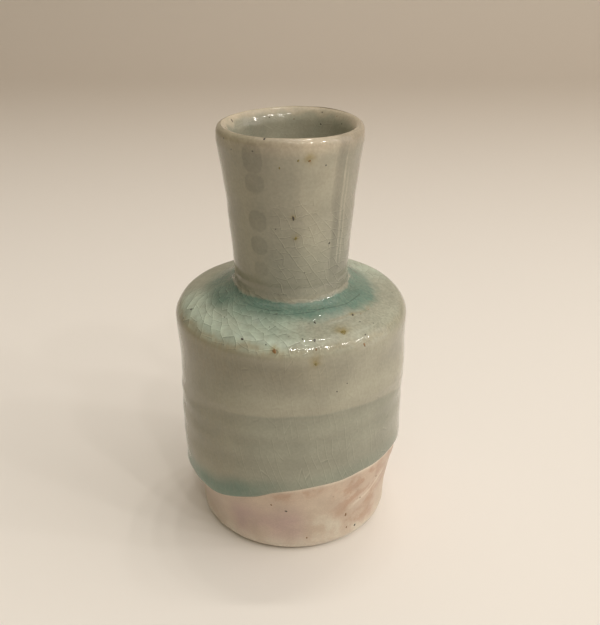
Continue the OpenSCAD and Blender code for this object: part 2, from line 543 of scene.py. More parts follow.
SPOTS = (
    IronSpot(-19.0, 144.6, 0.34, SpotTone.BLACK),
    IronSpot(-58.0, 143.0, 0.22, SpotTone.BLACK),
    IronSpot(-27.5, 141.3, 0.26, SpotTone.BLACK),
    IronSpot(-48.0, 140.6, 0.20, SpotTone.BLACK),
    IronSpot(14.3, 139.0, 0.36, SpotTone.BROWN, 1.2, 1.7),
    IronSpot(6.0, 139.2, 0.30, SpotTone.OLIVE, 1.5),
    IronSpot(-7.5, 136.9, 0.28, SpotTone.OLIVE, 1.3),
    IronSpot(27.5, 137.1, 0.26, SpotTone.BLACK),
    IronSpot(2.5, 120.7, 0.34, SpotTone.BLACK, 2.2, 0.8),
    IronSpot(4.6, 114.0, 0.40, SpotTone.OLIVE, 1.7, 1.0),
    IronSpot(36.8, 110.7, 0.28, SpotTone.BLACK, 1.6),
    IronSpot(-12.3, 117.0, 0.20, SpotTone.BLACK),
    IronSpot(13.0, 101.8, 0.18, SpotTone.BLACK),
    IronSpot(28.2, 85.5, 0.95, SpotTone.OLIVE, 1.1, 2.4),
    IronSpot(43.8, 86.45, 0.42, SpotTone.BLACK, 1.0, 0.8),
    IronSpot(49.5, 86.3, 0.24, SpotTone.BROWN),
    IronSpot(42.7, 85.85, 0.22, SpotTone.BLACK),
    IronSpot(38.5, 84.4, 0.24, SpotTone.BLACK),
    IronSpot(48.0, 85.35, 0.18, SpotTone.BLACK),
    IronSpot(58.0, 86.25, 0.20, SpotTone.BROWN),
    IronSpot(15.6, 86.55, 0.34, SpotTone.BLACK, 1.4),
    IronSpot(11.8, 85.2, 0.36, SpotTone.BLACK, 1.5),
    IronSpot(6.0, 85.4, 0.26, SpotTone.BLACK),
    IronSpot(7.8, 86.85, 0.18, SpotTone.BLACK),
    IronSpot(-7.3, 83.5, 0.62, SpotTone.BROWN, 1.0, 1.1),
    IronSpot(-24.0, 84.9, 0.44, SpotTone.BLACK, 0.8),
    IronSpot(-11.6, 84.6, 0.20, SpotTone.BLACK),
    IronSpot(-13.0, 86.3, 0.18, SpotTone.BLACK),
    IronSpot(-44.7, 86.2, 0.30, SpotTone.BLACK, 0.8),
    IronSpot(-67.5, 85.3, 0.36, SpotTone.BLACK),
    IronSpot(11.2, 79.8, 0.42, SpotTone.OLIVE, 1.3, 1.5),
    IronSpot(11.8, 83.7, 0.24, SpotTone.BROWN, 1.8),
    IronSpot(36.0, 82.4, 0.30, SpotTone.BROWN, 2.2),
    IronSpot(21.5, 68.7, 0.26, SpotTone.BLACK),
    IronSpot(26.8, 70.7, 0.22, SpotTone.BLACK),
    IronSpot(-11.0, 23.4, 0.36, SpotTone.BROWN),
    IronSpot(-3.4, 20.7, 0.46, SpotTone.BLACK),
    IronSpot(40.0, 5.9, 0.48, SpotTone.BLACK),
    IronSpot(32.2, 13.3, 0.46, SpotTone.BROWN, 1.8),
    IronSpot(8.0, 6.7, 0.34, SpotTone.BROWN),
    IronSpot(33.7, 6.8, 0.34, SpotTone.BROWN),
    IronSpot(41.3, 18.9, 0.34, SpotTone.BROWN),
    IronSpot(52.7, 24.8, 0.36, SpotTone.BROWN),
    IronSpot(-111.0, 143.7, 0.30, SpotTone.BLACK, 2.2, 0.0, True),
    IronSpot(148.0, 140.2, 0.22, SpotTone.BLACK, 1.6, 0.0, True),
    IronSpot(177.0, 141.3, 0.20, SpotTone.BROWN, 1.0, 0.0, True),
    IronSpot(-158.0, 142.2, 0.20, SpotTone.BLACK, 1.0, 0.0, True),
    IronSpot(149.0, 143.7, 0.22, SpotTone.BLACK, 1.0, 0.0, True),
    IronSpot(131.0, 143.4, 0.18, SpotTone.BROWN, 1.0, 0.0, True),
    IronSpot(128.0, 64.0, 0.30, SpotTone.BLACK),
    IronSpot(-150.0, 118.0, 0.34, SpotTone.BROWN, 1.4, 0.9),
    IronSpot(152.0, 85.4, 0.42, SpotTone.OLIVE, 1.0, 1.6),
    IronSpot(-128.0, 72.0, 0.26, SpotTone.BLACK),
    IronSpot(170.0, 14.0, 0.40, SpotTone.BLACK),
    IronSpot(-118.0, 9.0, 0.36, SpotTone.BROWN),
)


@dataclass(frozen=True)
class GlazeCoats:
    """Depths of the glaze over the clay, and the facts about it that the finishes read."""

    form: BottleForm
    marks: HandMarks
    outline: Outline
    lower_line: DipLine
    upper_line: DipLine
    roll_height: float
    pool_radius: float
    first: float
    second: float
    lining: float = 0.6
    at_lip: float = 0.3
    roll: float = 1.05
    pool: float = 1.5
    pool_cracks: tuple[PoolCrack, ...] = (
        PoolCrack(-44.0, 10.0, 21.0, 19.8, 2.2),
        PoolCrack(-22.0, 30.0, 24.2, 22.4, 0.6),
        PoolCrack(12.0, 72.0, 22.0, 24.0, 0.5),
        PoolCrack(-140.0, -90.0, 23.0, 24.5, 0.0),
        PoolCrack(110.0, 160.0, 24.5, 23.0, 0.0),
    )
    # Dark painted reflections: a column down the neck's left front and a strip down its right.
    dark_reflections: tuple[PaintedReflection, ...] = (
        PaintedReflection(-29.0, 139.0, 3.2, 4.4, 0.9),
        PaintedReflection(-29.0, 131.2, 3.2, 2.9, 0.9),
        PaintedReflection(-29.2, 118.8, 3.0, 3.2, 1.0),
        PaintedReflection(-29.3, 110.5, 2.8, 3.0, 0.9),
        PaintedReflection(-28.6, 102.2, 2.3, 2.5, 0.4),
        PaintedReflection(42.5, 137.0, 2.3, 6.0, 0.34),
        PaintedReflection(42.5, 127.0, 2.5, 7.0, 0.4),
        PaintedReflection(45.0, 115.0, 2.3, 7.5, 0.34),
        PaintedReflection(45.5, 104.0, 2.4, 6.0, 0.3),
    )
    # Pale painted reflections: two thin light lines down the neck's right side.
    runs: tuple[PaintedReflection, ...] = (
        PaintedReflection(48.0, 121.0, 0.5, 19.0, 0.9),
        PaintedReflection(53.0, 117.0, 0.4, 17.0, 0.6),
    )

    @classmethod
    def from_frame(cls, form: BottleForm, marks: HandMarks, outline: Outline) -> GlazeCoats:
        """Reads the coats' thicknesses and edges off the frame's own boxes."""
        roll_low, roll_high = (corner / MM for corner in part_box("glaze_roll"))
        coat_low, coat_high = (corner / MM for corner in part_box("second_coat"))
        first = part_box("first_coat")[1].x / MM - form.wall_radius
        roll_height = 4.5
        middle = (roll_low.z + roll_high.z - roll_height) / 2
        rise = (roll_high.z - roll_low.z - roll_height) / 2
        upper_rise = 3.2
        return cls(
            form=form,
            marks=marks,
            outline=outline,
            lower_line=DipLine(middle + 0.8, rise - 0.3, 45.0, (Sag(4.2, -36.0, 26.0),), 0.3, 11),
            upper_line=DipLine(
                coat_low.z + upper_rise,
                upper_rise + 0.6,
                34.0,
                (Sag(4.6, -78.0, 36.0), Sag(5.5, 82.0, 32.0)),
                0.25,
                12,
            ),
            roll_height=roll_height,
            pool_radius=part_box("shoulder_pool")[1].x / MM,
            first=first,
            second=coat_high.x - form.wall_radius - first,
        )

    def thinning(self, patch: Patch) -> np.ndarray:
        """Share of its depth that the glaze keeps: little on lip, shoulder's edge and joint's ridge."""
        lip = eased((patch.height - self.form.crown_height + 5.0) / 5.0)
        edge = bell(patch.along - self.shoulder_edge, 2.4)
        ridge = bell(patch.height - self.form.ridge_height, 1.1)
        kept_at_lip = self.at_lip / (self.first + self.second)
        return (1 - (1 - kept_at_lip) * lip) * (1 - 0.35 * edge) * (1 - 0.15 * ridge)

    @property
    def shoulder_edge(self) -> float:
        """Distance along the outline of the shoulder's edge."""
        slope = self.form.slope_height(self.form.wall_radius - self.form.shoulder_round)
        return float(self.outline.at_height(slope - 2.2))

    def above_lower_line(self, patch: Patch) -> np.ndarray:
        """Distance of each place above the lower dip line, along the wall."""
        return patch.along - self.outline.at_height(self.lower_line.at(patch.angle))

    def first_depth(self, patch: Patch) -> np.ndarray:
        """Depth of the first coat, which swells into the roll and ends in a quarter circle."""
        above = np.maximum(self.above_lower_line(patch), 0.0)
        left = sector(patch.angle, -62.0, 22.0, 30.0)
        right = sector(patch.angle, 90.0, 40.0, 40.0)
        thick = self.roll * (1 + 0.3 * left - 0.22 * right)
        swell = self.first + (thick - self.first) * (1 - eased((above - 1.2) / 5.5))
        lip = 1.1
        turn = np.sqrt(np.clip(1 - np.square(1 - np.minimum(above, lip) / lip), 0.0, 1.0))
        return swell * (0.06 + 0.94 * turn) * self.thinning(patch)

    def second_depth(self, patch: Patch) -> np.ndarray:
        """Depth of the second coat, which feathers out at its own edge with a slight bead."""
        above = patch.along - self.outline.at_height(self.upper_line.at(patch.angle))
        bead = 0.04 * bell(above - 0.9, 0.7)
        return (self.second + bead) * (0.04 + 0.96 * eased(above / 3.6)) * self.thinning(patch)

    def pool_span(self, angle: np.ndarray) -> tuple[np.ndarray, np.ndarray]:
        """Distances along the outline at which the pool starts on the shoulder and ends on the neck."""
        radius = self.pool_radius + 0.5 * np.cos(2 * angle) + 0.25 * Mottle(21, 12.0).at(angle, 0.0 * angle)
        start = self.outline.at_height(self.form.slope_height(radius))
        top = self.form.ridge_height - 1.6 + 0.15 * Mottle(22, 4.0, 20.0).at(angle, 0.0 * angle)
        stop = self.outline.at_height(top)
        return start, stop

    def pool_depth(self, patch: Patch) -> np.ndarray:
        """Depth of the pool: a sine hump between its two edges, deepest in the corner at the neck."""
        start, stop = self.pool_span(patch.angle)
        share = np.clip((patch.along - start) / (stop - start), 0.0, 1.0)
        return 0.01 + self.pool * np.sin(pi * np.power(share, 1.25))

    def halos(self, patch: Patch) -> np.ndarray:
        """Share of the iron's bleeding round each spot that has a halo: a bell about the spot's middle."""
        total = np.zeros_like(patch.radius)
        for spot in SPOTS:
            if spot.halo:
                across = np.radians(away(patch.angle, spot.angle_deg)) * patch.radius
                up = patch.along - self.outline.at_height(spot.height) - 0.4 * spot.halo
                total = total + 0.75 * bell(np.hypot(across, up), spot.halo)
        return total

    def clouds(self, patch: Patch) -> tuple[np.ndarray, np.ndarray]:
        """Broad and fine unevenness of the glaze at each place."""
        return Mottle(31, 7.0).at(patch.angle, patch.along), Mottle(32, 2.2).at(patch.angle, patch.along)

    def zones(self, patch: Patch) -> tuple[np.ndarray, np.ndarray, np.ndarray]:
        """Shares of the neck, of the wall and of the shoulder between them at each place."""
        on_neck = eased((patch.height - self.form.shoulder_height) / 3.0)
        on_wall = eased((self.shoulder_edge - patch.along) / 2.0)
        return on_neck, on_wall, (1 - on_neck) * (1 - on_wall)

    def lip_share(self, patch: Patch) -> np.ndarray:
        """Share of the lip, where the glaze has run thin."""
        return eased((patch.height - self.form.crown_height + 6.5) / 6.5)

    def shaded_left_side(self, patch: Patch) -> np.ndarray:
        """Share of the left side, where painted shade makes the glaze darker and warmer."""
        return sector(patch.angle, -74.0, 30.0, 36.0)

    def teal(self, patch: Patch) -> np.ndarray:
        """Share of deep turquoise glaze in the corner at the neck.

        On the right it ends within a few millimetres; on the left it fades over half of the shoulder.

        Args:
            patch: Places on the outside.

        Returns:
            The share at each place.
        """
        angle, radius = patch.angle, patch.radius
        cloud, fine = self.clouds(patch)
        on_shoulder = eased((patch.along - self.shoulder_edge) / 3.0)
        top = self.form.shoulder_height - 0.3 + 0.25 * cloud + 0.15 * fine
        below_ring = 0.66 * eased((top - patch.height) / 0.7) + 0.34 * eased((top + 1.1 - patch.height) / 1.2)
        right = sector(angle, 58.0, 44.0, 26.0)
        reach = 26.4 + 1.2 * sector(angle, 46.0, 22.0, 20.0) + 2.6 * sector(angle, 92.0, 16.0, 24.0)
        clear = eased((reach + 2.6 + 0.4 * cloud + 0.3 * fine - radius) / 6.4)
        spread = 30.2 + 2.2 * sector(angle, -88.0, 20.0, 26.0)
        beyond = 1 - eased((spread + 0.4 * cloud - radius) / 8.0)
        fading = 1 - beyond * (1 - 0.2 * eased((34.5 - radius) / 9.0))
        return on_shoulder * below_ring * (fading + (clear - fading) * right) * (0.96 + 0.04 * cloud)

    def cracks(self, patch: Patch) -> np.ndarray:
        """Share of the long dark cracks in the pool: thin bells about slowly wandering circles."""
        total = np.zeros_like(patch.radius)
        for crack in self.pool_cracks:
            turn = crack.stop_deg - crack.start_deg
            share = np.clip(away(patch.angle, crack.start_deg) / turn, 0.0, 1.0)
            radius = crack.start_radius + (crack.stop_radius - crack.start_radius) * share
            radius = radius + 4 * crack.bulge * share * (1 - share)
            radius = radius + 0.15 * np.sin(14.0 * share + crack.start_deg)
            line = self.outline.at_height(self.form.slope_height(radius))
            ends = sector(patch.angle, crack.start_deg + turn / 2, turn / 2 - 3.0, 4.0)
            total = total + bell(patch.along - line, 0.14) * ends
        return total

    def drift(self, patch: Patch) -> np.ndarray:
        """Angle by which the long cracks drift round: their lean over the radius, summed up the outline."""
        radius, height = self.outline.points.T
        lean = 0.16 + 0.46 * eased((height - 82.0) / 3.0) + 0.3 * eased((50.0 - height) / 24.0)
        lean = lean + 0.5 * eased((height - 83.0) / 2.0) * eased((93.0 - height) / 2.0)
        steps = lean / np.maximum(radius, 10.0) * np.gradient(self.outline.along)
        return np.interp(patch.along, self.outline.along, np.cumsum(steps))

    def thin_edges_and_shade(self, patch: Patch) -> np.ndarray:
        """Share of clay showing on the shoulder's edge and in a short ring inside it; painted shade below it.
        """
        cloud, fine = self.clouds(patch)
        _, on_wall, on_shoulder = self.zones(patch)
        edge = bell(patch.along - self.shoulder_edge + 0.2 * fine + 0.3 * cloud, 1.4)
        edge = edge * (0.55 + 0.45 * sector(patch.angle, -20.0, 60.0, 40.0))
        ring = bell(patch.radius - 28.6 - 0.4 * cloud, 0.6) * sector(patch.angle, 46.0, 18.0, 14.0)
        # Painted shade: a darker, warmer band under the shoulder on the left front.
        band = bell(patch.height - 77.0, 6.0) * sector(patch.angle, -22.0, 28.0, 20.0)
        return 0.8 * edge + 0.7 * on_shoulder * ring + 0.45 * on_wall * band

    def roll_teal(self, patch: Patch) -> np.ndarray:
        """Share of turquoise in the roll: deep on the left and faint elsewhere, fading up the wall."""
        cloud, _ = self.clouds(patch)
        above = self.above_lower_line(patch)
        left = sector(patch.angle, -62.0, 30.0, 34.0)
        fade = (above - 1.8 - 2.2 * left + 0.4 * cloud) / (5.4 + 2.4 * left)
        return (1 - eased(fade)) * (0.2 + 0.62 * left) * eased((above + 0.1) / 0.7)

    def cool(self, patch: Patch) -> np.ndarray:
        """Share of cool glaze: below the edge of the second coat, and towards the foot of the neck."""
        on_neck, on_wall, _ = self.zones(patch)
        below = 1 - eased((patch.height - self.upper_line.at(patch.angle)) / 1.4 + 0.5)
        return on_wall * below + 0.9 * on_neck * eased((124.0 - patch.height) / 24.0)

    def painted_bands(self, patch: Patch) -> np.ndarray:
        """Painted shade and light round the wall, and a darker tone low down in the cool glaze."""
        height = patch.height
        cloud, _ = self.clouds(patch)
        upper = height - self.upper_line.at(patch.angle)
        right = sector(patch.angle, 62.0, 20.0, 34.0)
        left_front = sector(patch.angle, -40.0, 44.0, 36.0)
        # Painted shade under the shoulder, and painted light on the bulge below it.
        high = (1 - right) * bell(height - 76.0 - 0.4 * cloud, 3.4) - 0.4 * bell(height - 67.5, 3.8)
        # A painted shadow just under the second coat's edge, with painted light on its bead above.
        at_edge = 0.35 * bell(upper + 0.7, 0.55) - 0.2 * bell(upper - 1.0, 0.9)
        # Darker in the cool glaze on the left front and on the right.
        low = self.cool(patch) * (0.55 * left_front + 0.6 * right)
        # Painted light on the right side, high up.
        return high + at_edge + low - 0.8 * right * bell(height - 71.0, 11.0)

    def gathered_glaze_and_shade(self, patch: Patch) -> np.ndarray:
        """Share of gathered glaze in the clay's dips, and of painted shade on the wall and round most of the
        neck.
        """
        angle, height = patch.angle, patch.height
        on_neck, on_wall, on_shoulder = self.zones(patch)
        # Painted shade round the neck below the lip, more on its right side.
        neck = 0.35 * (1 - self.lip_share(patch)) + 0.6 * sector(angle, 72.0, 26.0, 10.0)
        # Less just right of the front, where a painted reflection lightens the neck.
        neck = neck - sector(angle, 24.0, 11.0, 14.0) * (0.2 + 0.2 * eased((height - 104.0) / 10.0))
        # The wall's painted shade and light, with more painted shade on the left.
        wall = 0.5 * self.painted_bands(patch) + 0.1 * self.shaded_left_side(patch)
        shoulder = 0.15 * sector(angle, 6.0, 16.0, 16.0) * bell(patch.radius - 32.0, 5.0)
        above_ridge = 0.3 * bell(height - self.form.ridge_height - 2.4, 1.2)
        gathered = on_neck * neck + on_wall * wall + on_shoulder * shoulder + above_ridge
        return 0.5 - 0.9 * self.marks.relief(patch) + gathered

    def shade(self, patch: Patch) -> np.ndarray:
        """A half on plain glaze; more for painted shade and dark reflections, less for painted light and pale
        ones.
        """
        angle, height = patch.angle, patch.height
        on_neck, on_wall, _ = self.zones(patch)
        # Dark and pale painted reflections down the neck.
        dark_reflections = np.max([reflection.at(patch) for reflection in self.dark_reflections], axis=0)
        runs = np.max([run.at(patch) for run in self.runs], axis=0)
        # Painted shade on the neck's right and left of its front; the pale painted reflections lighten it.
        neck = dark_reflections + 0.18 * sector(angle, 58.0, 16.0, 8.0) + 0.25 * sector(angle, -12.0, 16.0, 12.0) - runs
        # On the wall: painted shade under the shoulder on the left, painted light right of the front.
        wall = 0.35 * sector(angle, -26.0, 22.0, 14.0) * bell(height - 76.5, 4.6)
        wall = wall - 0.35 * sector(angle, 24.0, 10.0, 20.0) * bell(height - 74.0, 7.0)
        return 0.5 + 0.5 * (on_neck * neck + on_wall * wall)

    def facts(self, patch: Patch) -> Facts:
        """What the glaze finish reads at each place.

        Args:
            patch: Places on the outside.

        Returns:
            Shares from 0 to 1: blush, where clay shows through thin glaze; edge, the same on the
            shoulder's edge, and painted shade below it and on the left; milk, where the glaze is pale with
            bubbles; teal, where it is deep; cool, where only the first coat lies, and painted shade on the
            left; shade, above a half for painted shade and dark painted reflections and below it for painted
            light and pale ones; stain, the iron's halos; gathered_glaze_and_shade, where the clay dips and
            glaze gathers, and painted shade; dust, fine iron; plates, craze, hairline and cracks, the
            crackles. Flow is the twisted place that uneven noise follows: it turns with the neck's height and
            runs half as fast along the outline as round it. Crack is the long cracks' drift, the distance
            along the outline, and 1 on the neck.
        """
        form = self.form
        angle, radius, height = patch.angle, patch.radius, patch.height
        cloud, _ = self.clouds(patch)
        on_neck, on_wall, on_shoulder = self.zones(patch)
        # Painted shade on the left, as a darker and warmer edge and cool tint.
        left_shade = (on_wall + on_neck) * self.shaded_left_side(patch)
        lip, teal = self.lip_share(patch), self.teal(patch)

        ridge = bell(height - form.ridge_height - 0.9, 0.5)
        blush = lip + 0.08 * ridge + 0.2 * on_neck * eased((height - 104.0) / 36.0) * (1 + 0.2 * cloud)
        milky = np.clip(sector(angle, -42.0, 32.0, 28.0) + 0.8 * sector(angle, 165.0, 40.0, 30.0), 0.0, 1.0)
        milk = on_shoulder * (0.26 + 0.74 * milky) * eased((radius - 20.0 + 1.0 * cloud) / 4.0)

        crazed = sector(angle, 30.0, 36.0, 22.0) + 0.8 * sector(angle, 190.0, 50.0, 34.0)
        neck_craze = on_neck * eased((131.0 - height + 3.0 * cloud) / 16.0) * crazed
        craze = neck_craze + on_shoulder * np.maximum(0.35 + 0.65 * milky, 0.8 * eased((25.0 - radius) / 3.0))
        low = eased((66.0 - height) / 30.0)
        hairline = on_wall * (0.15 + 0.85 * sector(angle, 24.0, 44.0, 30.0)) * (0.5 + 0.5 * low)
        hairline = hairline + 0.3 * neck_craze + 0.25 * on_shoulder

        turn = angle + np.radians(1.9) * np.maximum(height - form.shoulder_height, 0.0)
        reach = 24.0 + 0.35 * (radius - 24.0)
        flow = np.stack([reach * np.sin(turn), -reach * np.cos(turn), 0.5 * patch.along], axis=-1)
        neck_mark = np.where(height > form.ridge_height, 1.0, 0.0)
        crack = np.stack([self.drift(patch), patch.along, neck_mark], axis=-1)
        shares = {
            "blush": blush,
            "edge": self.thin_edges_and_shade(patch) + 0.7 * left_shade,
            "milk": milk,
            "teal": np.maximum(teal, self.roll_teal(patch) * on_wall),
            "cool": self.cool(patch) + 0.8 * left_shade,
            "shade": self.shade(patch),
            "stain": self.halos(patch),
            "gathered_glaze_and_shade": self.gathered_glaze_and_shade(patch),
            "dust": on_shoulder * sector(angle, 48.0, 44.0, 24.0) + 0.5 * lip,
            "plates": on_shoulder * (0.15 + 0.85 * milky) * (1 - 0.35 * teal) + 0.12 * neck_craze,
            "cracks": self.cracks(patch) * on_shoulder,
            "craze": craze,
            "hairline": hairline,
        }
        clipped = {name: np.clip(share, 0.0, 1.0) for name, share in shares.items()}
        return clipped | {"flow": flow, "crack": crack}


@dataclass(frozen=True)
class Sheet:
    """One face of a piece: its points in metres and the facts at each of them."""

    points: np.ndarray
    facts: Facts

    def backwards(self) -> Sheet:
        """The same face, walked from its last row to its first."""
        return Sheet(self.points[::-1], {name: fact[::-1] for name, fact in self.facts.items()})

    def then(self, other: Sheet) -> Sheet:
        """This face followed by another with the same columns."""
        facts = {name: np.concatenate([fact, other.facts[name]]) for name, fact in self.facts.items()}
        return Sheet(np.concatenate([self.points, other.points]), facts)


def shown(mesh: bpy.types.Mesh, finish: bpy.types.Material) -> bpy.types.Object:
    """Makes a smooth object of a mesh, with a finish and the mesh's own name, at the origin.

    Args:
        mesh: The mesh.
        finish: Its material.

    Returns:
        The object, linked into the scene.
    """
    mesh.shade_smooth()
    mesh.materials.append(finish)
    piece = bpy.data.objects.new(mesh.name, mesh)
    bpy.context.scene.collection.objects.link(piece)
    return piece


class Closing(Enum):
    """How a walk of rows closes into a solid."""

    LOOP = "the last row joins the first"
    POLES = "the first and last rows are points on the axis"


def solid(name: str, sheet: Sheet, closing: Closing, finish: bpy.types.Material) -> bpy.types.Object:
    """Makes a closed mesh of a walk of rows round a section, with its facts as point attributes.

    Args:
        name: The piece's name.
        sheet: Rows in order round the section, so that faces turn outwards.
        closing: How the walk closes.
        finish: The piece's material.

    Returns:
        The object, smooth but for its sharp edges.
    """
    rows, columns = sheet.points.shape[:2]
    index = np.arange(rows * columns).reshape(rows, columns)
    following = np.roll(index, -1, axis=1)
    if closing is Closing.LOOP:
        upper, upper_following = np.roll(index, -1, axis=0), np.roll(following, -1, axis=0)
        quads = np.stack([index, following, upper_following, upper], axis=-1).reshape(-1, 4)
        faces = quads.tolist()
        kept = slice(None)
    else:
        ring, ring_following = index[1:-1], following[1:-1]
        around = [ring[:-1], ring_following[:-1], ring_following[1:], ring[1:]]
        quads = np.stack(around, axis=-1).reshape(-1, 4)
        first, last = columns - 1, (rows - 1) * columns
        low = np.stack([np.full(columns, first), ring_following[0], ring[0]], axis=-1)
        high = np.stack([np.full(columns, last), ring[-1], ring_following[-1]], axis=-1)
        kept = slice(first, last + 1)
        faces = (quads - first).tolist() + (low - first).tolist() + (high - first).tolist()
    mesh = bpy.data.meshes.new(name)
    mesh.from_pydata(sheet.points.reshape(-1, 3)[kept].tolist(), [], faces)
    for fact_name, fact in sheet.facts.items():
        kind, channel = ("FLOAT_VECTOR", "vector") if fact.ndim == 3 else ("FLOAT", "value")
        flat = fact.reshape(rows * columns, -1)[kept].astype(np.float32).ravel()
        mesh.attributes.new(fact_name, kind, "POINT").data.foreach_set(channel, flat)
    piece = shown(mesh, finish)
    mesh.set_sharp_from_angle(angle=SHARP_ANGLE)
    return piece


class Nodes:
    """A material's node tree, with short calls for the nodes that the finishes share."""

    def __init__(self, name: str) -> None:
        """Starts a material with one surface shader."""
        self.material = bpy.data.materials.new(name)
        self.material.use_nodes = True
        self.tree = self.material.node_tree
        self.tree.nodes.clear()
        self.shader = self.tree.nodes.new("ShaderNodeBsdfPrincipled")
        output = self.tree.nodes.new("ShaderNodeOutputMaterial")
        self.tree.links.new(self.shader.outputs["BSDF"], output.inputs["Surface"])

    def feed(self, socket: bpy.types.NodeSocket, value: object) -> None:
        """Links another socket into this one, or sets it to a constant."""
        if isinstance(value, bpy.types.NodeSocket):
            self.tree.links.new(value, socket)
        elif isinstance(value, tuple) and len(value) == 3 and socket.type == "RGBA":
            socket.default_value = (*value, 1.0)
        else:
            socket.default_value = value

    def fact(self, name: str, channel: str = "Fac") -> bpy.types.NodeSocket:
        """One of the mesh's own facts."""
        node = self.tree.nodes.new("ShaderNodeAttribute")
        node.attribute_name = name
        return node.outputs[channel]

    def place(self) -> bpy.types.NodeSocket:
        """The place on the object in metres."""
        return self.tree.nodes.new("ShaderNodeTexCoord").outputs["Object"]

    def maths(self, kind: str, first: object, second: object) -> bpy.types.NodeSocket:
        """One sum of two numbers or sockets."""
        node = self.tree.nodes.new("ShaderNodeMath")
        node.operation = kind
        self.feed(node.inputs[0], first)
        self.feed(node.inputs[1], second)
        return node.outputs[0]

    def times(self, *factors: object) -> bpy.types.NodeSocket:
        """The product of numbers or sockets."""
        product = factors[0]
        for factor in factors[1:]:
            product = self.maths("MULTIPLY", product, factor)
        return product

    def plus(self, *terms: object) -> bpy.types.NodeSocket:
        """The total of numbers or sockets."""
        total = terms[0]
        for term in terms[1:]:
            total = self.maths("ADD", total, term)
        return total

    def stretched(self, vector: object, factors: tuple[float, float, float]) -> bpy.types.NodeSocket:
        """A vector with each of its parts multiplied by a factor."""
        node = self.tree.nodes.new("ShaderNodeVectorMath")
        node.operation = "MULTIPLY"
        self.feed(node.inputs[0], vector)
        self.feed(node.inputs[1], factors)
        return node.outputs["Vector"]

    def shaken(self, vector: object, scale: float, amount: float) -> bpy.types.NodeSocket:
        """A vector pushed about by noise, so that straight lines become crooked."""
        noise = self.tree.nodes.new("ShaderNodeTexNoise")
        self.feed(noise.inputs["Vector"], vector)
        self.feed(noise.inputs["Scale"], scale)
        push = self.tree.nodes.new("ShaderNodeVectorMath")
        push.operation = "MULTIPLY_ADD"
        self.feed(push.inputs[0], noise.outputs["Color"])
        self.feed(push.inputs[1], (amount, amount, amount))
        self.feed(push.inputs[2], vector)
        return push.outputs[0]

    def split(self, vector: object) -> tuple[bpy.types.NodeSocket, ...]:
        """The three parts of a vector."""
        node = self.tree.nodes.new("ShaderNodeSeparateXYZ")
        self.feed(node.inputs[0], vector)
        return tuple(node.outputs)

    def chance(self, first: object, second: object) -> bpy.types.NodeSocket:
        """A random number from 0 to 1 that belongs to a pair of whole numbers."""
        pair = self.tree.nodes.new("ShaderNodeCombineXYZ")
        self.feed(pair.inputs[0], first)
        self.feed(pair.inputs[1], second)
        node = self.tree.nodes.new("ShaderNodeTexWhiteNoise")
        self.feed(node.inputs["Vector"], pair.outputs[0])
        return node.outputs["Value"]

    def noise(self, vector: object, scale: float, detail: float = 3.0) -> bpy.types.NodeSocket:
        """Soft noise between 0 and 1."""
        node = self.tree.nodes.new("ShaderNodeTexNoise")
        self.feed(node.inputs["Vector"], vector)
        self.feed(node.inputs["Scale"], scale)
        self.feed(node.inputs["Detail"], detail)
        return node.outputs["Fac"]

    def cells(self, vector: object, scale: float, channel: str) -> bpy.types.NodeSocket:
        """One output of a pattern of random cells."""
        node = self.tree.nodes.new("ShaderNodeTexVoronoi")
        self.feed(node.inputs["Vector"], vector)
        self.feed(node.inputs["Scale"], scale)
        return node.outputs[channel]

    def span(
        self, value: object, low: float, high: float, start: float = 0.0, stop: float = 1.0
    ) -> bpy.types.NodeSocket:
        """A number eased from one span to another."""
        node = self.tree.nodes.new("ShaderNodeMapRange")
        node.interpolation_type = "SMOOTHSTEP"
        for socket, number in zip(node.inputs[:5], (value, low, high, start, stop)):
            self.feed(socket, number)
        return node.outputs[0]

    def mixed(self, share: object, first: object, second: object, blend: str = "MIX") -> bpy.types.NodeSocket:
        """Two colours mixed by a share."""
        node = self.tree.nodes.new("ShaderNodeMix")
        node.data_type = "RGBA"
        node.blend_type = blend
        self.feed(node.inputs[0], share)
        self.feed(node.inputs[6], first)
        self.feed(node.inputs[7], second)
        return node.outputs[2]

    def bump(self, height: object, strength: float, distance: float) -> bpy.types.NodeSocket:
        """A normal tilted by a height; the distance is in metres."""
        node = self.tree.nodes.new("ShaderNodeBump")
        self.feed(node.inputs["Strength"], strength)
        self.feed(node.inputs["Distance"], distance)
        self.feed(node.inputs["Height"], height)
        return node.outputs["Normal"]


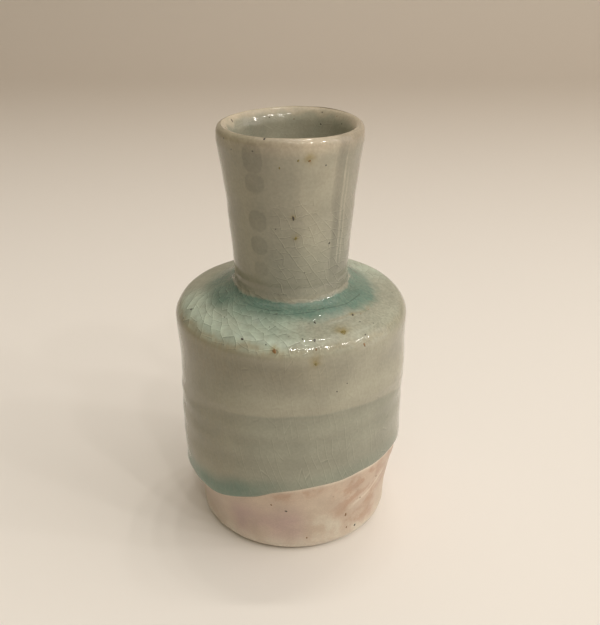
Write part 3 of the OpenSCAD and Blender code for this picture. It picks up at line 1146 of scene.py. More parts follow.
@dataclass(frozen=True)
class Crackle:
    """Cracks in the glaze: long ones that climb in kinked straight runs, and short ones between them.

    Attributes:
        rounds: How many long cracks there are round the body.
        neck_share: Share of them that there are round the neck.
        length: Distance between two kinks or two short cracks, in millimetres.
        wander: How far the kinks stray to either side, as a share of the spacing, below 1.
        width: Half of a crack's width, as a share of the spacing.
        long_gaps: Share of the long cracks that is missing on the body.
        neck_gaps: Share of them that is missing on the neck.
        short_gaps: Share of the short cracks that is missing.
    """

    rounds: int
    neck_share: float
    length: float
    wander: float
    width: float
    long_gaps: float
    neck_gaps: float
    short_gaps: float

    def draw(self, nodes: Nodes) -> tuple[bpy.types.NodeSocket, ...]:
        """Lays the cracks over the bottle.

        Args:
            nodes: The material's tree.

        Returns:
            The cracks; how much paler or darker they are than the glaze, pale on a crack with painted shade
            beside it; a random lightness about 0 for each plate between them; and how far a place lies up its
            plate's tilt, about 0.
        """
        flow = nodes.fact("flow", "Vector")
        side, front, _ = nodes.split(nodes.place())
        drift, along, neck = nodes.split(nodes.fact("crack", "Vector"))
        turn = nodes.plus(nodes.maths("ARCTAN2", side, nodes.times(front, -1.0)), drift)
        per_turn = self.rounds / (2 * pi)
        count = nodes.plus(
            nodes.times(nodes.maths("GREATER_THAN", neck, 0.5), (self.neck_share - 1) * per_turn), per_turn
        )
        sway = nodes.plus(nodes.noise(flow, 4.0 / self.rounds, 1.0), -0.5)
        shiver = nodes.plus(nodes.noise(flow, 40.0 / self.rounds, 1.0), -0.5)
        across = nodes.plus(nodes.times(turn, count), nodes.times(sway, 1.2), nodes.times(shiver, 0.16))
        up = nodes.plus(
            nodes.times(along, 1 / self.length),
            nodes.times(sway, -1.5),
            nodes.times(shiver, 0.2),
        )
        gaps = nodes.plus(nodes.times(neck, self.neck_gaps - self.long_gaps), self.long_gaps)
        return self.cracks(nodes, across, up, gaps)

    def line(
        self, nodes: Nodes, distance: bpy.types.NodeSocket, width: float, there: bpy.types.NodeSocket
    ) -> tuple[bpy.types.NodeSocket, ...]:
        """A crack and its painted shading, from the distance to its middle: pale on it, painted shade just
        beside it.

        Args:
            nodes: The material's tree.
            distance: Distance from the crack's middle, with its sign.
            width: Half of the crack's width.
            there: 1 where the crack exists and 0 where it is missing.

        Returns:
            The crack and its painted shading.
        """
        pale = nodes.span(nodes.maths("ABSOLUTE", distance, 0.0), 0.0, width, 1.0, 0.0)
        beside = nodes.maths("ABSOLUTE", nodes.plus(distance, 0.9 * width), 0.0)
        dark = nodes.span(beside, 0.0, width, 0.9, 0.0)
        return nodes.times(pale, there), nodes.times(nodes.maths("SUBTRACT", pale, dark), there)

    def long_crack(
        self,
        nodes: Nodes,
        number: bpy.types.NodeSocket,
        across: bpy.types.NodeSocket,
        up: bpy.types.NodeSocket,
        gaps: bpy.types.NodeSocket,
    ) -> tuple[bpy.types.NodeSocket, ...]:
        """One long crack: straight runs between kinks that stray at random, some of the runs missing.

        Args:
            nodes: The material's tree.
            number: The crack's number round the bottle.
            across: Place round the bottle, in long cracks.
            up: Place along the outline, in kinks.
            gaps: Share of the runs that is missing.

        Returns:
            The crack, its painted shading, and how far a place lies to the right of it.
        """
        run = nodes.maths("FLOOR", up, 0.0)
        share = nodes.maths("SUBTRACT", up, run)
        low, high = nodes.chance(number, run), nodes.chance(number, nodes.plus(run, 1.0))
        stray = nodes.plus(low, nodes.times(share, nodes.maths("SUBTRACT", high, low)), -0.5)
        right = nodes.plus(across, nodes.times(number, -1.0), nodes.times(stray, -self.wander))
        there = nodes.maths("GREATER_THAN", nodes.chance(nodes.plus(number, 0.5), run), gaps)
        return *self.line(nodes, right, self.width, there), right

    def cracks(
        self,
        nodes: Nodes,
        across: bpy.types.NodeSocket,
        up: bpy.types.NodeSocket,
        gaps: bpy.types.NodeSocket,
    ) -> tuple[bpy.types.NodeSocket, ...]:
        """The two long cracks beside each place, and the short cracks that cross its plate on a slant.

        Args:
            nodes: The material's tree.
            across: Place round the bottle, in long cracks.
            up: Place along the outline, in kinks.
            gaps: Share of the long cracks' runs that is missing.

        Returns:
            The cracks, their painted shading, each plate's lightness, and the place up its tilt.
        """
        number = nodes.maths("FLOOR", across, 0.0)
        first, first_shading, right_of_first = self.long_crack(nodes, number, across, up, gaps)
        next_number = nodes.plus(number, 1.0)
        second, second_shading, right_of_second = self.long_crack(nodes, next_number, across, up, gaps)
        past_first = nodes.maths("LESS_THAN", right_of_first, 0.0)
        past_second = nodes.maths("GREATER_THAN", right_of_second, 0.0)
        strip = nodes.plus(number, nodes.times(past_first, -1.0), past_second)
        place_across = nodes.plus(across, nodes.times(strip, -1.0), -0.5)
        slant = nodes.times(nodes.plus(nodes.chance(strip, 0.25), -0.5), place_across, 1.4)
        staggered = nodes.plus(up, nodes.times(nodes.chance(strip, 0.75), 7.0), slant)
        crossing = nodes.maths("FLOOR", nodes.plus(staggered, 0.5), 0.0)
        there = nodes.maths("GREATER_THAN", nodes.chance(strip, crossing), self.short_gaps)
        from_crossing = nodes.maths("SUBTRACT", staggered, crossing)
        short, short_shading = self.line(nodes, from_crossing, self.width, there)
        middle = nodes.plus(nodes.maths("FLOOR", staggered, 0.0), 0.5)
        plate = nodes.chance(strip, middle)
        place_along = nodes.maths("SUBTRACT", staggered, middle)
        tilt = nodes.plus(place_along, nodes.times(plate, nodes.maths("SUBTRACT", place_across, place_along)))
        cracks = nodes.maths("MAXIMUM", nodes.maths("MAXIMUM", first, second), short)
        return cracks, nodes.plus(first_shading, second_shading, short_shading), nodes.plus(plate, -0.5), tilt


@dataclass(frozen=True)
class GlazeFinish:
    """Crackled celadon: colours by glaze depth and clearness, painted shade and light, two crackles, iron
    dust, gloss.
    """

    name: str
    body: Colour = (0.340, 0.322, 0.246)
    cool: Colour = (0.322, 0.318, 0.246)
    blush: Colour = (0.450, 0.381, 0.283)
    edge: Colour = (0.325, 0.292, 0.200)
    milk: Colour = (0.436, 0.506, 0.412)
    teal: Colour = (0.137, 0.225, 0.177)
    stain: Colour = (0.25, 0.19, 0.06)
    dust: Colour = (0.07, 0.06, 0.045)
    roughness: float = 0.08
    wide: Crackle = Crackle(52, 0.68, 3.3, 0.65, 0.06, 0.3, 0.14, 0.06)
    close: Crackle = Crackle(104, 0.6, 6.0, 0.5, 0.1, 0.3, 0.35, 0.86)

    def material(self) -> bpy.types.Material:
        """Builds the node tree and returns its material."""
        nodes = Nodes(self.name)
        place, flow = nodes.place(), nodes.fact("flow", "Vector")
        cloud = nodes.noise(place, 90.0)
        # Relief is the wide cracks' painted shading; tilt also paints each plate lighter on one side.
        line, relief, lightness, tilt = self.wide.draw(nodes)
        hair, hair_shading, _, _ = self.close.draw(nodes)
        craze, hairline, plates = nodes.fact("craze"), nodes.fact("hairline"), nodes.fact("plates")
        faint = nodes.span(nodes.noise(flow, 0.5, 2.0), 0.35, 0.55, 0.5, 1.0)

        colour = self.colours(nodes, place, flow, cloud)
        grain = nodes.noise(place, 1100.0, 3.0)
        # The tone holds painted shade and light from the shade and gathered_glaze_and_shade facts.
        tone = nodes.times(
            nodes.span(cloud, 0.25, 0.75, 0.93, 1.07),
            nodes.span(grain, 0.3, 0.7, 0.955, 1.045),
            nodes.span(nodes.fact("shade"), 0.0, 1.0, 1.2, 0.8),
            nodes.span(nodes.fact("gathered_glaze_and_shade"), 0.0, 1.0, 1.11, 0.86),
            nodes.span(nodes.fact("cracks"), 0.0, 1.0, 1.0, 0.6),
        )
        tone = nodes.plus(
            tone,
            nodes.times(nodes.plus(grain, -0.5), nodes.fact("dust"), 0.3),
            nodes.times(lightness, plates, 0.14),
            # Painted shade and light: each plate lighter at one side and darker at the other along its tilt.
            nodes.times(tilt, plates, -0.28),
            # The cracks' painted shading: pale on each crack, painted shade beside it.
            nodes.times(relief, craze, faint, 0.25),
            nodes.times(hair_shading, hairline, faint, 0.15),
        )
        colour = nodes.mixed(1.0, colour, tone, "MULTIPLY")
        colour = nodes.mixed(nodes.times(self.specks(nodes, place), 0.6), colour, self.dust)

        gritty = nodes.plus(nodes.fact("blush"), nodes.fact("edge"), nodes.fact("teal"), nodes.fact("dust"))
        height = nodes.plus(
            nodes.times(line, craze, 1.0),
            nodes.times(tilt, plates, -0.8),
            nodes.times(hair, hairline, 0.3),
            nodes.times(nodes.noise(place, 260.0, 2.0), 1.5),
            nodes.times(nodes.noise(place, 1100.0, 2.0), nodes.span(gritty, 0.0, 1.0, 0.7, 1.2)),
        )
        rough = nodes.plus(
            nodes.span(cloud, 0.2, 0.8, self.roughness - 0.04, self.roughness + 0.05),
            nodes.times(line, craze, 0.12),
        )
        nodes.feed(nodes.shader.inputs["Base Color"], colour)
        nodes.feed(nodes.shader.inputs["Roughness"], rough)
        nodes.feed(nodes.shader.inputs["Normal"], nodes.bump(height, 0.6, 0.00007))
        nodes.feed(nodes.shader.inputs["IOR"], 1.5)
        return nodes.material

    def colours(
        self,
        nodes: Nodes,
        place: bpy.types.NodeSocket,
        flow: bpy.types.NodeSocket,
        cloud: bpy.types.NodeSocket,
    ) -> bpy.types.NodeSocket:
        """Mixes the glaze's colours by the mesh's facts, each share made uneven by noise.

        Args:
            nodes: The material's tree.
            place: The place on the object.
            flow: The twisted place.
            cloud: Soft noise.

        Returns:
            The colour before its lightness is varied.
        """
        streak = nodes.noise(nodes.stretched(flow, (1.0, 1.0, 0.4)), 0.5)
        wisps = nodes.noise(nodes.stretched(flow, (1.0, 1.0, 0.3)), 1.3, 4.0)
        # The cool and edge colours also tint painted shade on the left and under the shoulder.
        colour = nodes.mixed(nodes.fact("cool"), self.body, self.cool)
        for name, share, stop in (
            ("blush", nodes.span(cloud, 0.2, 0.7, 0.75, 1.0), self.blush),
            ("milk", nodes.span(streak, 0.3, 0.65, 0.75, 1.0), self.milk),
            ("edge", nodes.span(wisps, 0.3, 0.6, 0.65, 1.0), self.edge),
            ("teal", nodes.span(wisps, 0.3, 0.6, 0.86, 1.0), self.teal),
            ("stain", nodes.span(nodes.noise(place, 700.0), 0.3, 0.6, 0.4, 1.0), self.stain),
        ):
            colour = nodes.mixed(nodes.times(nodes.fact(name), share), colour, stop)
        return colour

    def specks(self, nodes: Nodes, place: bpy.types.NodeSocket) -> bpy.types.NodeSocket:
        """Iron dust: the middles of a few random cells, more of them where the dust lies thick."""
        ragged = nodes.shaken(place, 1500.0, 0.0003)
        middle = nodes.cells(ragged, 300.0, "Distance")
        pick = nodes.cells(ragged, 300.0, "Color")
        chosen = nodes.span(nodes.plus(pick, nodes.times(nodes.fact("dust"), 0.42)), 0.9, 0.92)
        return nodes.times(nodes.span(middle, 0.04, 0.12, 1.0, 0.0), chosen)


@dataclass(frozen=True)
class ClayFinish:
    """Bare stoneware, pale and flashed pink by the kiln, with iron grit and the tool's faint scratches."""

    name: str
    body: Colour = (0.572, 0.460, 0.356)
    rose: Colour = (0.490, 0.360, 0.320)
    flush: Colour = (0.475, 0.325, 0.235)
    # An ashy haze; also painted light on the foot's lowest part.
    ash_and_light: Colour = (0.610, 0.560, 0.455)
    # Also painted light on the foot's lowest part.
    pale: Colour = (0.76, 0.68, 0.57)
    grit: Colour = (0.10, 0.06, 0.04)
    roughness: float = 0.36

    def material(self) -> bpy.types.Material:
        """Builds the node tree: tints by the mesh's facts, painted light low down among them, cloudy noise,
        grit, pale flecks and scratches.
        """
        nodes = Nodes(self.name)
        place = nodes.place()
        cloud = nodes.noise(place, 130.0, 4.0)
        patches = nodes.noise(place, 60.0, 4.0)
        grain = nodes.noise(place, 1800.0, 2.0)
        flecks = nodes.span(nodes.noise(place, 700.0, 3.0), 0.5, 0.6)
        # Ash_and_light and pale both carry painted light on the foot's lowest part.
        colour = nodes.mixed(nodes.times(nodes.fact("ash_and_light"), nodes.span(cloud, 0.4, 0.6)), self.body, self.ash_and_light)
        rose = nodes.times(nodes.fact("rose"), nodes.span(patches, 0.3, 0.52, 0.35, 1.0))
        colour = nodes.mixed(rose, colour, self.rose)
        colour = nodes.mixed(
            nodes.times(
                nodes.fact("flush"), nodes.span(nodes.noise(place, 210.0, 5.0), 0.42, 0.58, 0.25, 1.0)
            ),
            colour,
            self.flush,
        )
        light = nodes.maths("MAXIMUM", nodes.fact("pale"), nodes.times(nodes.fact("flecks"), flecks))
        colour = nodes.mixed(light, colour, self.pale)
        tone = nodes.times(
            nodes.span(cloud, 0.25, 0.75, 0.93, 1.06),
            nodes.span(grain, 0.25, 0.75, 0.95, 1.05),
        )
        colour = nodes.mixed(1.0, colour, tone, "MULTIPLY")
        middle = nodes.cells(place, 260.0, "Distance")
        pick = nodes.cells(place, 260.0, "Color")
        speck = nodes.times(nodes.span(middle, 0.03, 0.08, 1.0, 0.0), nodes.span(pick, 0.84, 0.86))
        colour = nodes.mixed(nodes.times(speck, 0.6), colour, self.grit)
        wheel = nodes.noise(nodes.stretched(place, (0.05, 0.05, 1.0)), 1400.0, 2.0)
        height = nodes.plus(nodes.times(wheel, 0.6), nodes.times(grain, 0.8), nodes.times(cloud, 2.0))
        nodes.feed(nodes.shader.inputs["Base Color"], colour)
        nodes.feed(
            nodes.shader.inputs["Roughness"],
            nodes.span(cloud, 0.3, 0.7, self.roughness - 0.08, self.roughness + 0.1),
        )
        nodes.feed(nodes.shader.inputs["Normal"], nodes.bump(height, 0.4, 0.00008))
        return nodes.material


@dataclass(frozen=True)
class SpotFinish:
    """Iron that has melted through to the surface: dark in the middle, mottled, half glossy."""

    name: str
    tone: SpotTone

    def material(self) -> bpy.types.Material:
        """Builds the node tree."""
        nodes = Nodes(self.name)
        grain = nodes.noise(nodes.place(), 2500.0, 2.0)
        light = tuple(min(1.0, 1.7 * part) for part in self.tone.value)
        colour = nodes.mixed(nodes.span(grain, 0.35, 0.7), self.tone.value, light)
        nodes.feed(nodes.shader.inputs["Base Color"], colour)
        nodes.feed(nodes.shader.inputs["Roughness"], nodes.span(grain, 0.3, 0.7, 0.25, 0.4))
        nodes.feed(nodes.shader.inputs["Normal"], nodes.bump(grain, 0.3, 0.00005))
        return nodes.material


@dataclass
class Bottle:
    """The whole bottle: its form, its hand marks, its glaze, and a method that builds each piece."""

    form: BottleForm
    marks: HandMarks
    outside: Outline
    inside: Outline
    coats: GlazeCoats
    angles: np.ndarray

    @classmethod
    def from_frame(cls) -> Bottle:
        """Works the bottle out from the frame."""
        form = BottleForm.from_frame()
        outside = form.outside()
        angles = np.linspace(-pi, pi, COLUMNS, endpoint=False)[None, :]
        marks = HandMarks()
        coats = GlazeCoats.from_frame(form, marks, outside)
        return cls(form, marks, outside, form.inside(), coats, angles)

    def rows(self, start: np.ndarray | float, stop: np.ndarray | float, count: int) -> np.ndarray:
        """Distances along an outline from one edge to another: even rows, and a column per angle."""
        share = np.linspace(0.0, 1.0, count)[:, None]
        return start + (stop - start) * share + 0.0 * self.angles

    def wire_marks(self, patch: Patch) -> np.ndarray:
        """Lift, below zero, of the curved marks that the cutting wire left under the foot."""
        contact = self.form.foot_radius - self.form.foot_round
        under = np.clip(-patch.out_height, 0.0, 1.0) * eased((contact - 1.0 - patch.radius) / 3.0)
        across = patch.radius * np.sin(patch.angle) - WIRE_CENTRE[0]
        ahead = patch.radius * np.cos(patch.angle) - WIRE_CENTRE[1]
        reach = np.hypot(across, ahead)
        waves = np.square(np.sin(pi * reach / WIRE_SPACING)) * (1 + 0.3 * np.sin(reach / 3.1))
        return -WIRE_DEPTH * under * waves

    def clay_body(self) -> Sheet:
        """Rows from the middle of the base, up the outside to the joint, across, and down the inside."""
        joint = float(self.outside.at_height(self.form.seam_bottom))
        wall = float(self.outside.at_height(FINE_ROWS_HEIGHT))
        contact = self.form.foot_radius - self.form.foot_round
        along = np.concatenate(
            [self.rows(0.0, contact, 34), self.rows(contact, wall, 98)[1:], self.rows(wall, joint, 34)[1:]]
        )
        outer = self.outside.patch(self.angles, along)
        lift = np.where(outer.height > 0.0, self.marks.relief(outer), 0.0) + self.wire_marks(outer)
        inside_seam = self.inside.at_height(self.form.seam_bottom)
        inner = self.inside.patch(self.angles, self.rows(0.0, inside_seam, 52))
        outer_sheet = Sheet(self.marks.place(outer, lift), self.clay_facts(outer))
        inner_sheet = Sheet(self.marks.place(inner, 0.0 * inner.radius), self.clay_facts(inner))
        return outer_sheet.then(inner_sheet.backwards())

    def clay_facts(self, patch: Patch) -> Facts:
        """Where the bare clay is flashed: rose left of the front, rust right, an ashy haze between; painted
        light low down.

        Args:
            patch: Places on the clay.

        Returns:
            Shares from 0 to 1 of rose, flush, ash_and_light, pale and flecks. Ash_and_light is an ashy haze,
            with painted light near the bottom; pale is a fringe under the dip line, one slanting wipe mark
            and painted light on the foot's lowest part; flecks are pale specks along its edge.
        """
        angle, height = patch.angle, patch.height
        cloud = Mottle(43, 8.0).at(angle, patch.along)
        rose = sector(angle, -15.0, 14.0, 14.0) * bell(height - 13.0, 8.5)
        rose = rose + 0.6 * sector(angle, 150.0, 40.0, 40.0)
        rose = rose + 0.35 * sector(angle, -55.0, 14.0, 20.0) * bell(height - 12.0, 9.0)
        flush = sector(angle, 52.0, 20.0, 16.0) * eased((height - 12.0 + 2.5 * cloud) / 6.0)
        tongue = bell(height - 28.5 - 0.08 * away(angle, 0.0), 3.0)
        flush = flush + 0.9 * sector(angle, 2.0, 10.0, 9.0) * tongue
        flush = flush + sector(angle, 46.0, 9.0, 8.0) * bell(height - 10.0, 5.5)
        ash_and_light = 0.75 * sector(angle, 24.0, 12.0, 12.0) * bell(height - 8.0, 12.0)
        ash_and_light = ash_and_light + 0.4 * sector(angle, -95.0, 40.0, 30.0)
        # Painted light: paler near the foot's bottom.
        ash_and_light = ash_and_light + 0.8 * bell(height - 2.0, 5.0)
        fringe = bell(self.coats.above_lower_line(patch) + 0.5, 0.8) * sector(angle, 45.0, 40.0, 25.0)
        slant = height - 20.5 - 0.34 * away(angle, 48.0) + 0.5 * cloud
        wipe = 0.6 * bell(slant, 0.9) * sector(angle, 49.0, 9.0, 8.0)
        wipe = wipe + 0.3 * bell(slant - 2.6, 0.8) * sector(angle, 46.0, 8.0, 8.0)
        flecks = bell(height - 2.4, 1.5) * eased(height / 0.6)
        # Its last two terms are painted light on the foot's lowest part.
        pale = 0.8 * fringe + wipe + 0.55 * eased((9.0 - height) / 9.0) + 0.4 * bell(height - 1.2, 0.9)
        shares = {"rose": rose, "flush": flush, "ash_and_light": ash_and_light, "pale": pale, "flecks": flecks}
        return {name: np.clip(share, 0.0, 1.0) for name, share in shares.items()}

    def clay_ring(self, low: float, high: float, count: int) -> Sheet:
        """Rows round a ring of clay between two heights of the neck, outside and then inside."""
        outer = self.outside.patch(
            self.angles, self.rows(self.outside.at_height(low), self.outside.at_height(high), count)
        )
        inner = self.inside.patch(
            self.angles, self.rows(self.inside.at_height(low), self.inside.at_height(high), count)
        )
        outer_sheet = Sheet(self.marks.place(outer, self.marks.relief(outer)), self.clay_facts(outer))
        inner_sheet = Sheet(self.marks.place(inner, 0.0 * inner.radius), self.clay_facts(inner))
        return outer_sheet.then(inner_sheet.backwards())

    def coat(
        self,
        start: np.ndarray,
        stop: np.ndarray,
        counts: tuple[int, int],
        turn: np.ndarray,
        under: str,
        over: str,
    ) -> Sheet:
        """Rows over a layer of glaze and back under it.

        Args:
            start: Distance along the outline of its lower edge, at each angle.
            stop: Distance of its upper edge.
            counts: Rows below and above the turn.
            turn: Distance at which the row spacing changes.
            under: Name of the surface that it lies on.
            over: Name of its own surface.

        Returns:
            The closed walk of rows.
        """
        along = np.concatenate([self.rows(start, turn, counts[0]), self.rows(turn, stop, counts[1])[1:]])
        top = self.outside.patch(self.angles, along)
        bottom = self.outside.patch(self.angles, self.rows(start, stop, HIDDEN_ROWS))
        top_sheet = Sheet(self.marks.place(top, self.lift(top, over)), self.coats.facts(top))
        bottom_sheet = Sheet(self.marks.place(bottom, self.lift(bottom, under)), self.coats.facts(bottom))
        return top_sheet.then(bottom_sheet.backwards())

    def lift(self, patch: Patch, surface: str) -> np.ndarray:
        """Lift off the clay's outline of one of the bottle's surfaces: clay, first, second or pool."""
        lift = self.marks.relief(patch)
        if surface in ("first", "second", "pool"):
            lift = lift + self.coats.first_depth(patch)
        if surface in ("second", "pool"):
            lift = lift + self.coats.second_depth(patch)
        if surface == "pool":
            lift = lift + self.coats.pool_depth(patch)
        return lift

    def glaze_roll(self) -> Sheet:
        """The thick roll along the lower dip line."""
        start = self.outside.at_height(self.coats.lower_line.at(self.angles))
        stop = start + self.coats.roll_height
        return self.coat(start, stop, (30, 12), start + 3.0, "clay", "first")

    def first_coat(self) -> Sheet:
        """The first coat, from the roll to the lip."""
        start = self.outside.at_height(self.coats.lower_line.at(self.angles)) + self.coats.roll_height
        turn = self.outside.at_height(self.coats.upper_line.at(self.angles)) + 2.0
        return self.coat(start, self.outside.end + 0.0 * start, (80, 90), turn, "clay", "first")

    def second_coat(self) -> Sheet:
        """The second coat, from its own edge to the lip."""
        start = self.outside.at_height(self.coats.upper_line.at(self.angles))
        return self.coat(start, self.outside.end + 0.0 * start, (24, 170), start + 4.0, "first", "second")

    def shoulder_pool(self) -> Sheet:
        """The pool in the corner between shoulder and neck."""
        start, stop = self.coats.pool_span(self.angles)
        return self.coat(start, stop, (40, 40), (start + stop) / 2, "second", "pool")

    def inner_glaze(self) -> Sheet:
        """The lining, from the middle of the floor to the top of the lip, and back against the clay."""
        root = float(self.inside.at_height(self.form.seam_bottom))
        along = np.concatenate([self.rows(0.0, root, 50), self.rows(root, self.inside.end, 114)[1:]])
        face = self.inside.patch(self.angles, along)
        back = self.inside.patch(self.angles, self.rows(0.0, self.inside.end, 52))
        face_sheet = Sheet(self.marks.place(face, self.lining_depth(face)), self.lining_facts(face))
        back_sheet = Sheet(self.marks.place(back, 0.0 * back.radius), self.lining_facts(back))
        return back_sheet.then(face_sheet.backwards())

    def lining_depth(self, patch: Patch) -> np.ndarray:
        """Depth of the lining: thin on the lip, with the throwing rings as a slow wave up the wall."""
        lip = eased((patch.height - self.form.crown_height + 5.0) / 5.0)
        depth = self.coats.lining + (self.coats.at_lip - self.coats.lining) * lip
        wall = eased((patch.height - 8.0) / 4.0) * (1 - lip)
        return depth + 0.07 * np.sin(patch.height / 1.35 + patch.angle) * wall

    def lining_facts(self, patch: Patch) -> Facts:
        """Facts of the lining: thin and pale on the lip, cool and crazed below it, with painted shade on its
        left.
        """
        cloud = Mottle(51, 6.0).at(patch.angle, patch.along)
        lip = eased((patch.height - self.form.crown_height + 2.6 + 0.4 * cloud) / 2.0)
        zero = np.zeros_like(patch.radius)
        flow = np.stack(
            [
                patch.radius * np.sin(patch.angle),
                -patch.radius * np.cos(patch.angle),
                0.5 * patch.height,
            ],
            axis=-1,
        )
        shares = {
            "blush": lip,
            "edge": zero,
            "milk": zero,
            "teal": 0.02 + 0.03 * cloud,
            "cool": zero,
            "shade": 0.5 + zero,
            "stain": zero,
            # Painted shade on the inside's left, below the lip.
            "gathered_glaze_and_shade": 0.6 * (1 - lip) * sector(patch.angle, -95.0, 40.0, 40.0),
            "dust": 0.6 * lip,
            "plates": zero,
            "cracks": zero,
            "craze": 0.4 * (1 - lip),
            "hairline": 0.2 * (1 - lip),
        }
        crack = np.stack([0.03 * patch.along, patch.along, 1.0 + zero], axis=-1)
        clipped = {name: np.clip(share, 0.0, 1.0) for name, share in shares.items()}
        return clipped | {"flow": flow, "crack": crack}


@dataclass(frozen=True)
class IronSpots:
    """The iron spots, as low irregular domes on the outside of the bottle."""

    bottle: Bottle
    rise: float = 0.05
    sides: int = 14
    ring_reach: tuple[float, ...] = (1.1, 0.84, 0.45)
    ring_rise: tuple[float, ...] = (-1.6, 0.7, 1.0)

    def surface(self, spot: IronSpot) -> str:
        """Name of the outermost surface under a spot."""
        line = self.bottle.coats.lower_line.at(np.array([radians(spot.angle_deg)]))
        return "clay" if spot.height < float(line[0]) else "pool"

    def dome(self, spot: IronSpot, seed: int) -> tuple[np.ndarray, np.ndarray]:
        """Points and faces of one spot: rings of a low dome whose outline wavers, laid on the surface."""
        bottle = self.bottle
        rng = np.random.default_rng(seed)
        turn = np.linspace(0.0, 2.0 * pi, self.sides, endpoint=False)
        waver = 1 + 0.16 * np.cos(2 * turn + rng.uniform(0, 6)) + 0.1 * np.cos(3 * turn + rng.uniform(0, 6))
        reach = np.array(self.ring_reach)[:, None] * waver * spot.size
        outline, way = (bottle.inside, -1) if spot.inside else (bottle.outside, 1)
        along = float(outline.at_height(spot.height)) + spot.stretch * reach * np.sin(turn)
        radius = float(np.interp(spot.height, *outline.points.T[::-1]))
        angle = radians(spot.angle_deg) + way * reach * np.cos(turn) / radius
        patch = outline.patch(angle, along)
        rise = self.rise * np.array(self.ring_rise)[:, None]
        glaze = bottle.lining_depth(patch) if spot.inside else bottle.lift(patch, self.surface(spot))
        points = bottle.marks.place(patch, glaze + rise)
        index = np.arange(points.shape[0] * self.sides).reshape(-1, self.sides)
        following = np.roll(index, -1, axis=1)
        quads = np.stack([index[:-1], following[:-1], following[1:], index[1:]], axis=-1).reshape(-1, 4)
        return points.reshape(-1, 3), quads

    def build(self, tone: SpotTone, finish: bpy.types.Material) -> bpy.types.Object:
        """Makes one mesh of all the spots of a tone."""
        points, faces = [], []
        for seed, spot in enumerate(SPOTS):
            if spot.tone is tone:
                base = sum(len(part) for part in points)
                places, quads = self.dome(spot, seed)
                points.append(places)
                faces += (quads + base).tolist()
                faces.append((np.arange(self.sides) + base + 2 * self.sides).tolist())
                faces.append((np.arange(self.sides)[::-1] + base).tolist())
        mesh = bpy.data.meshes.new(f"iron_spots_{tone.name.lower()}")
        mesh.from_pydata(np.vstack(points).tolist(), [], faces)
        return shown(mesh, finish)


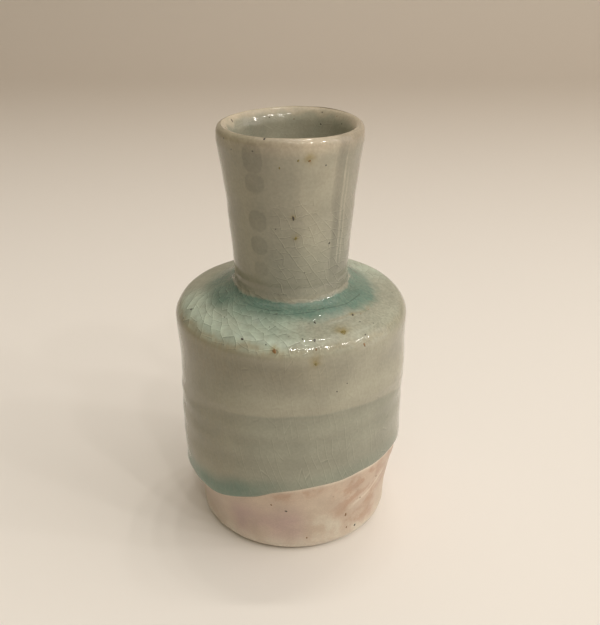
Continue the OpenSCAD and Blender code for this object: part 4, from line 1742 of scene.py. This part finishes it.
@dataclass(frozen=True)
class Studio:
    """Plain pale sweep, soft lamps and the camera."""

    camera_place: tuple[float, float, float] = (0.0029, -0.2627, 0.2087)
    camera_tilt: float = radians(63.57)
    focal_pixels: float = 840.0
    image_height: float = 625.0
    sensor: float = 36.0
    sweep_front: float = -1.6
    sweep_back: float = 1.2
    sweep_top: float = 1.6
    sweep_bend: float = 0.4
    sweep_side: float = 1.8
    sweep_drop: float = 0.0002
    lamp_reach: float = 1.8
    lamp_target: tuple[float, float, float] = (0.0, 0.0, 0.07)
    lamp_light: Colour = (1.0, 0.945, 0.88)
    small_lamp: tuple[float, float] = (0.03, 0.03)
    row_turns: tuple[float, ...] = (4.0, 23.0, 42.0, 60.0, 78.0)
    row_rises: tuple[float, ...] = (50.0, 48.0, 44.0, 39.0, 34.0)
    glints: tuple[float, ...] = (0.02, 0.12, 0.22)
    left_light: Colour = (0.50, 0.43, 0.25)
    right_light: Colour = (1.08, 1.04, 0.96)
    surround_strength: float = 0.36
    floor: Colour = (0.86, 0.82, 0.775)
    backdrop: Colour = (0.54, 0.475, 0.405)

    def sweep(self) -> bpy.types.Object:
        """A floor that curves up into a backdrop: a flat run, a quarter circle and an upright."""
        bend = np.linspace(0.0, pi / 2, 24)
        reach = self.sweep_bend
        middle = self.sweep_back - reach
        path = np.concatenate(
            [
                np.array([[self.sweep_front, 0.0], [-0.4, 0.0], [0.3, 0.0]]),
                np.column_stack([middle + reach * np.sin(bend), reach * (1 - np.cos(bend))]),
                np.array([[self.sweep_back, self.sweep_top]]),
            ]
        )
        sides = np.linspace(-self.sweep_side, self.sweep_side, 9)[None, :]
        points = np.stack(np.broadcast_arrays(sides, path[:, :1], path[:, 1:] - self.sweep_drop), axis=-1)
        index = np.arange(points.shape[0] * points.shape[1]).reshape(points.shape[:2])
        around = [index[:-1, :-1], index[:-1, 1:], index[1:, 1:], index[1:, :-1]]
        quads = np.stack(around, axis=-1).reshape(-1, 4)
        mesh = bpy.data.meshes.new("sweep")
        mesh.from_pydata(points.reshape(-1, 3).tolist(), [], quads.tolist())
        nodes = Nodes("pale_sweep")
        _, far, _ = nodes.split(nodes.place())
        colour = nodes.mixed(nodes.span(far, 0.05, 0.9), self.floor, self.backdrop)
        nodes.feed(nodes.shader.inputs["Base Color"], colour)
        nodes.feed(nodes.shader.inputs["Roughness"], 0.38)
        nodes.feed(nodes.shader.inputs["Specular IOR Level"], 0.3)
        return shown(mesh, nodes.material)

    def lamp(
        self,
        name: str,
        heading: tuple[float, float, float],
        size: tuple[float, float],
        power: float,
    ) -> None:
        """A lamp in a direction, facing the bottle's middle, as bright as a nearer and smaller one.

        Args:
            name: The lamp's name.
            heading: Direction from the bottle to the lamp.
            size: Width and height in metres that it would have one metre off.
            power: Power in watts that it would have one metre off.
        """
        light = bpy.data.lights.new(name, "AREA")
        light.shape = "RECTANGLE"
        light.size, light.size_y = (self.lamp_reach * side for side in size)
        light.energy = power * self.lamp_reach**2
        light.color = self.lamp_light
        holder = bpy.data.objects.new(name, light)
        direction = Vector(heading).normalized()
        holder.location = Vector(self.lamp_target) + self.lamp_reach * direction
        holder.rotation_euler = direction.to_track_quat("Z", "Y").to_euler()
        bpy.context.scene.collection.objects.link(holder)

    def light(self) -> None:
        """Broad lamps at the front right, overhead and right, two rows of small ones, and a surround."""
        self.lamp("key", (0.45, -0.52, 0.73), (1.2, 1.2), 1.9)
        self.lamp("overhead", (0.16, 0.06, 0.98), (1.2, 1.2), 3.4)
        self.lamp("side", (1.0, -0.1, 0.3), (0.8, 0.8), 2.25)
        for turn, rise in zip(self.row_turns, self.row_rises):
            level = cos(radians(rise))
            heading = (level * sin(radians(turn)), -level * cos(radians(turn)), sin(radians(rise)))
            self.lamp(f"row_{turn:.0f}", heading, self.small_lamp, 0.58)
        for across in self.glints:
            self.lamp(f"glint_{100 * across:.0f}", (across, 0.2, 0.97), self.small_lamp, 0.4)
        self.surround()
        bpy.context.scene.view_settings.view_transform = "Standard"

    def surround(self) -> None:
        """An even surround that is a little dimmer and warmer on the left than on the right."""
        world = bpy.data.worlds.new("surround")
        world.use_nodes = True
        tree = world.node_tree
        heading = tree.nodes.new("ShaderNodeTexCoord")
        parts = tree.nodes.new("ShaderNodeSeparateXYZ")
        sides = tree.nodes.new("ShaderNodeMapRange")
        sides.inputs["From Min"].default_value = -1.0
        colour = tree.nodes.new("ShaderNodeMix")
        colour.data_type = "RGBA"
        colour.inputs[6].default_value = (*self.left_light, 1.0)
        colour.inputs[7].default_value = (*self.right_light, 1.0)
        background = tree.nodes["Background"]
        background.inputs["Strength"].default_value = self.surround_strength
        tree.links.new(heading.outputs["Generated"], parts.inputs[0])
        tree.links.new(parts.outputs["X"], sides.inputs["Value"])
        tree.links.new(sides.outputs[0], colour.inputs[0])
        tree.links.new(colour.outputs[2], background.inputs["Color"])
        bpy.context.scene.world = world

    def camera(self) -> None:
        """The camera, where the photograph was taken from."""
        lens = bpy.data.cameras.new("camera")
        lens.sensor_width = self.sensor
        lens.lens = self.focal_pixels * self.sensor / self.image_height
        lens.clip_start = 0.01
        holder = bpy.data.objects.new("camera", lens)
        holder.location = self.camera_place
        holder.rotation_euler = (self.camera_tilt, 0.0, 0.0)
        bpy.context.scene.collection.objects.link(holder)
        bpy.context.scene.camera = holder


def dress(piece: bpy.types.Object, slot: str, *nodes: str) -> None:
    """Rides a piece on the bottle, names its finish in the record and hides the nodes that it stands for."""
    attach(piece, "root")
    for node in nodes:
        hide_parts(node)
    LOG.info("%s: %d faces, finish %s", piece.name, len(piece.data.polygons), slot)


def main() -> None:
    """Builds the bottle and the studio, piece by piece."""
    logging.basicConfig(level=logging.INFO, format="%(name)s: %(message)s")
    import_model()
    bottle = Bottle.from_frame()
    form = bottle.form

    clay = ClayFinish("bare_clay").material()
    slip = ClayFinish("slip").material()
    dress(solid("thrown_body", bottle.clay_body(), Closing.POLES, clay), "bare_clay", "clay_body")
    neck = bottle.clay_ring(form.seam_top, form.crown_height, 60)
    dress(solid("thrown_neck", neck, Closing.LOOP, clay), "bare_clay", "clay_neck")
    ring = bottle.clay_ring(form.seam_bottom, form.seam_top, 10)
    dress(solid("slip_ring", ring, Closing.LOOP, slip), "slip", "luting_ring")

    glazes = (
        ("roll_of_glaze", bottle.glaze_roll(), Closing.LOOP, "rolled_celadon", "glaze_roll"),
        ("first_glaze", bottle.first_coat(), Closing.LOOP, "blue_celadon", "first_coat"),
        ("second_glaze", bottle.second_coat(), Closing.LOOP, "grey_celadon", "second_coat"),
        ("pool_of_glaze", bottle.shoulder_pool(), Closing.LOOP, "pooled_celadon", "shoulder_pool"),
        ("lining", bottle.inner_glaze(), Closing.POLES, "lining_celadon", "inner_glaze"),
    )
    for name, sheet, closing, slot, node in glazes:
        dress(solid(name, sheet, closing, GlazeFinish(slot).material()), slot, node)

    spots = IronSpots(bottle)
    for tone in SpotTone:
        finish = SpotFinish(f"iron_{tone.name.lower()}", tone).material()
        dress(spots.build(tone, finish), "grey_celadon")

    studio = Studio()
    studio.sweep()
    studio.light()
    studio.camera()


if __name__ == "__main__":
    main()
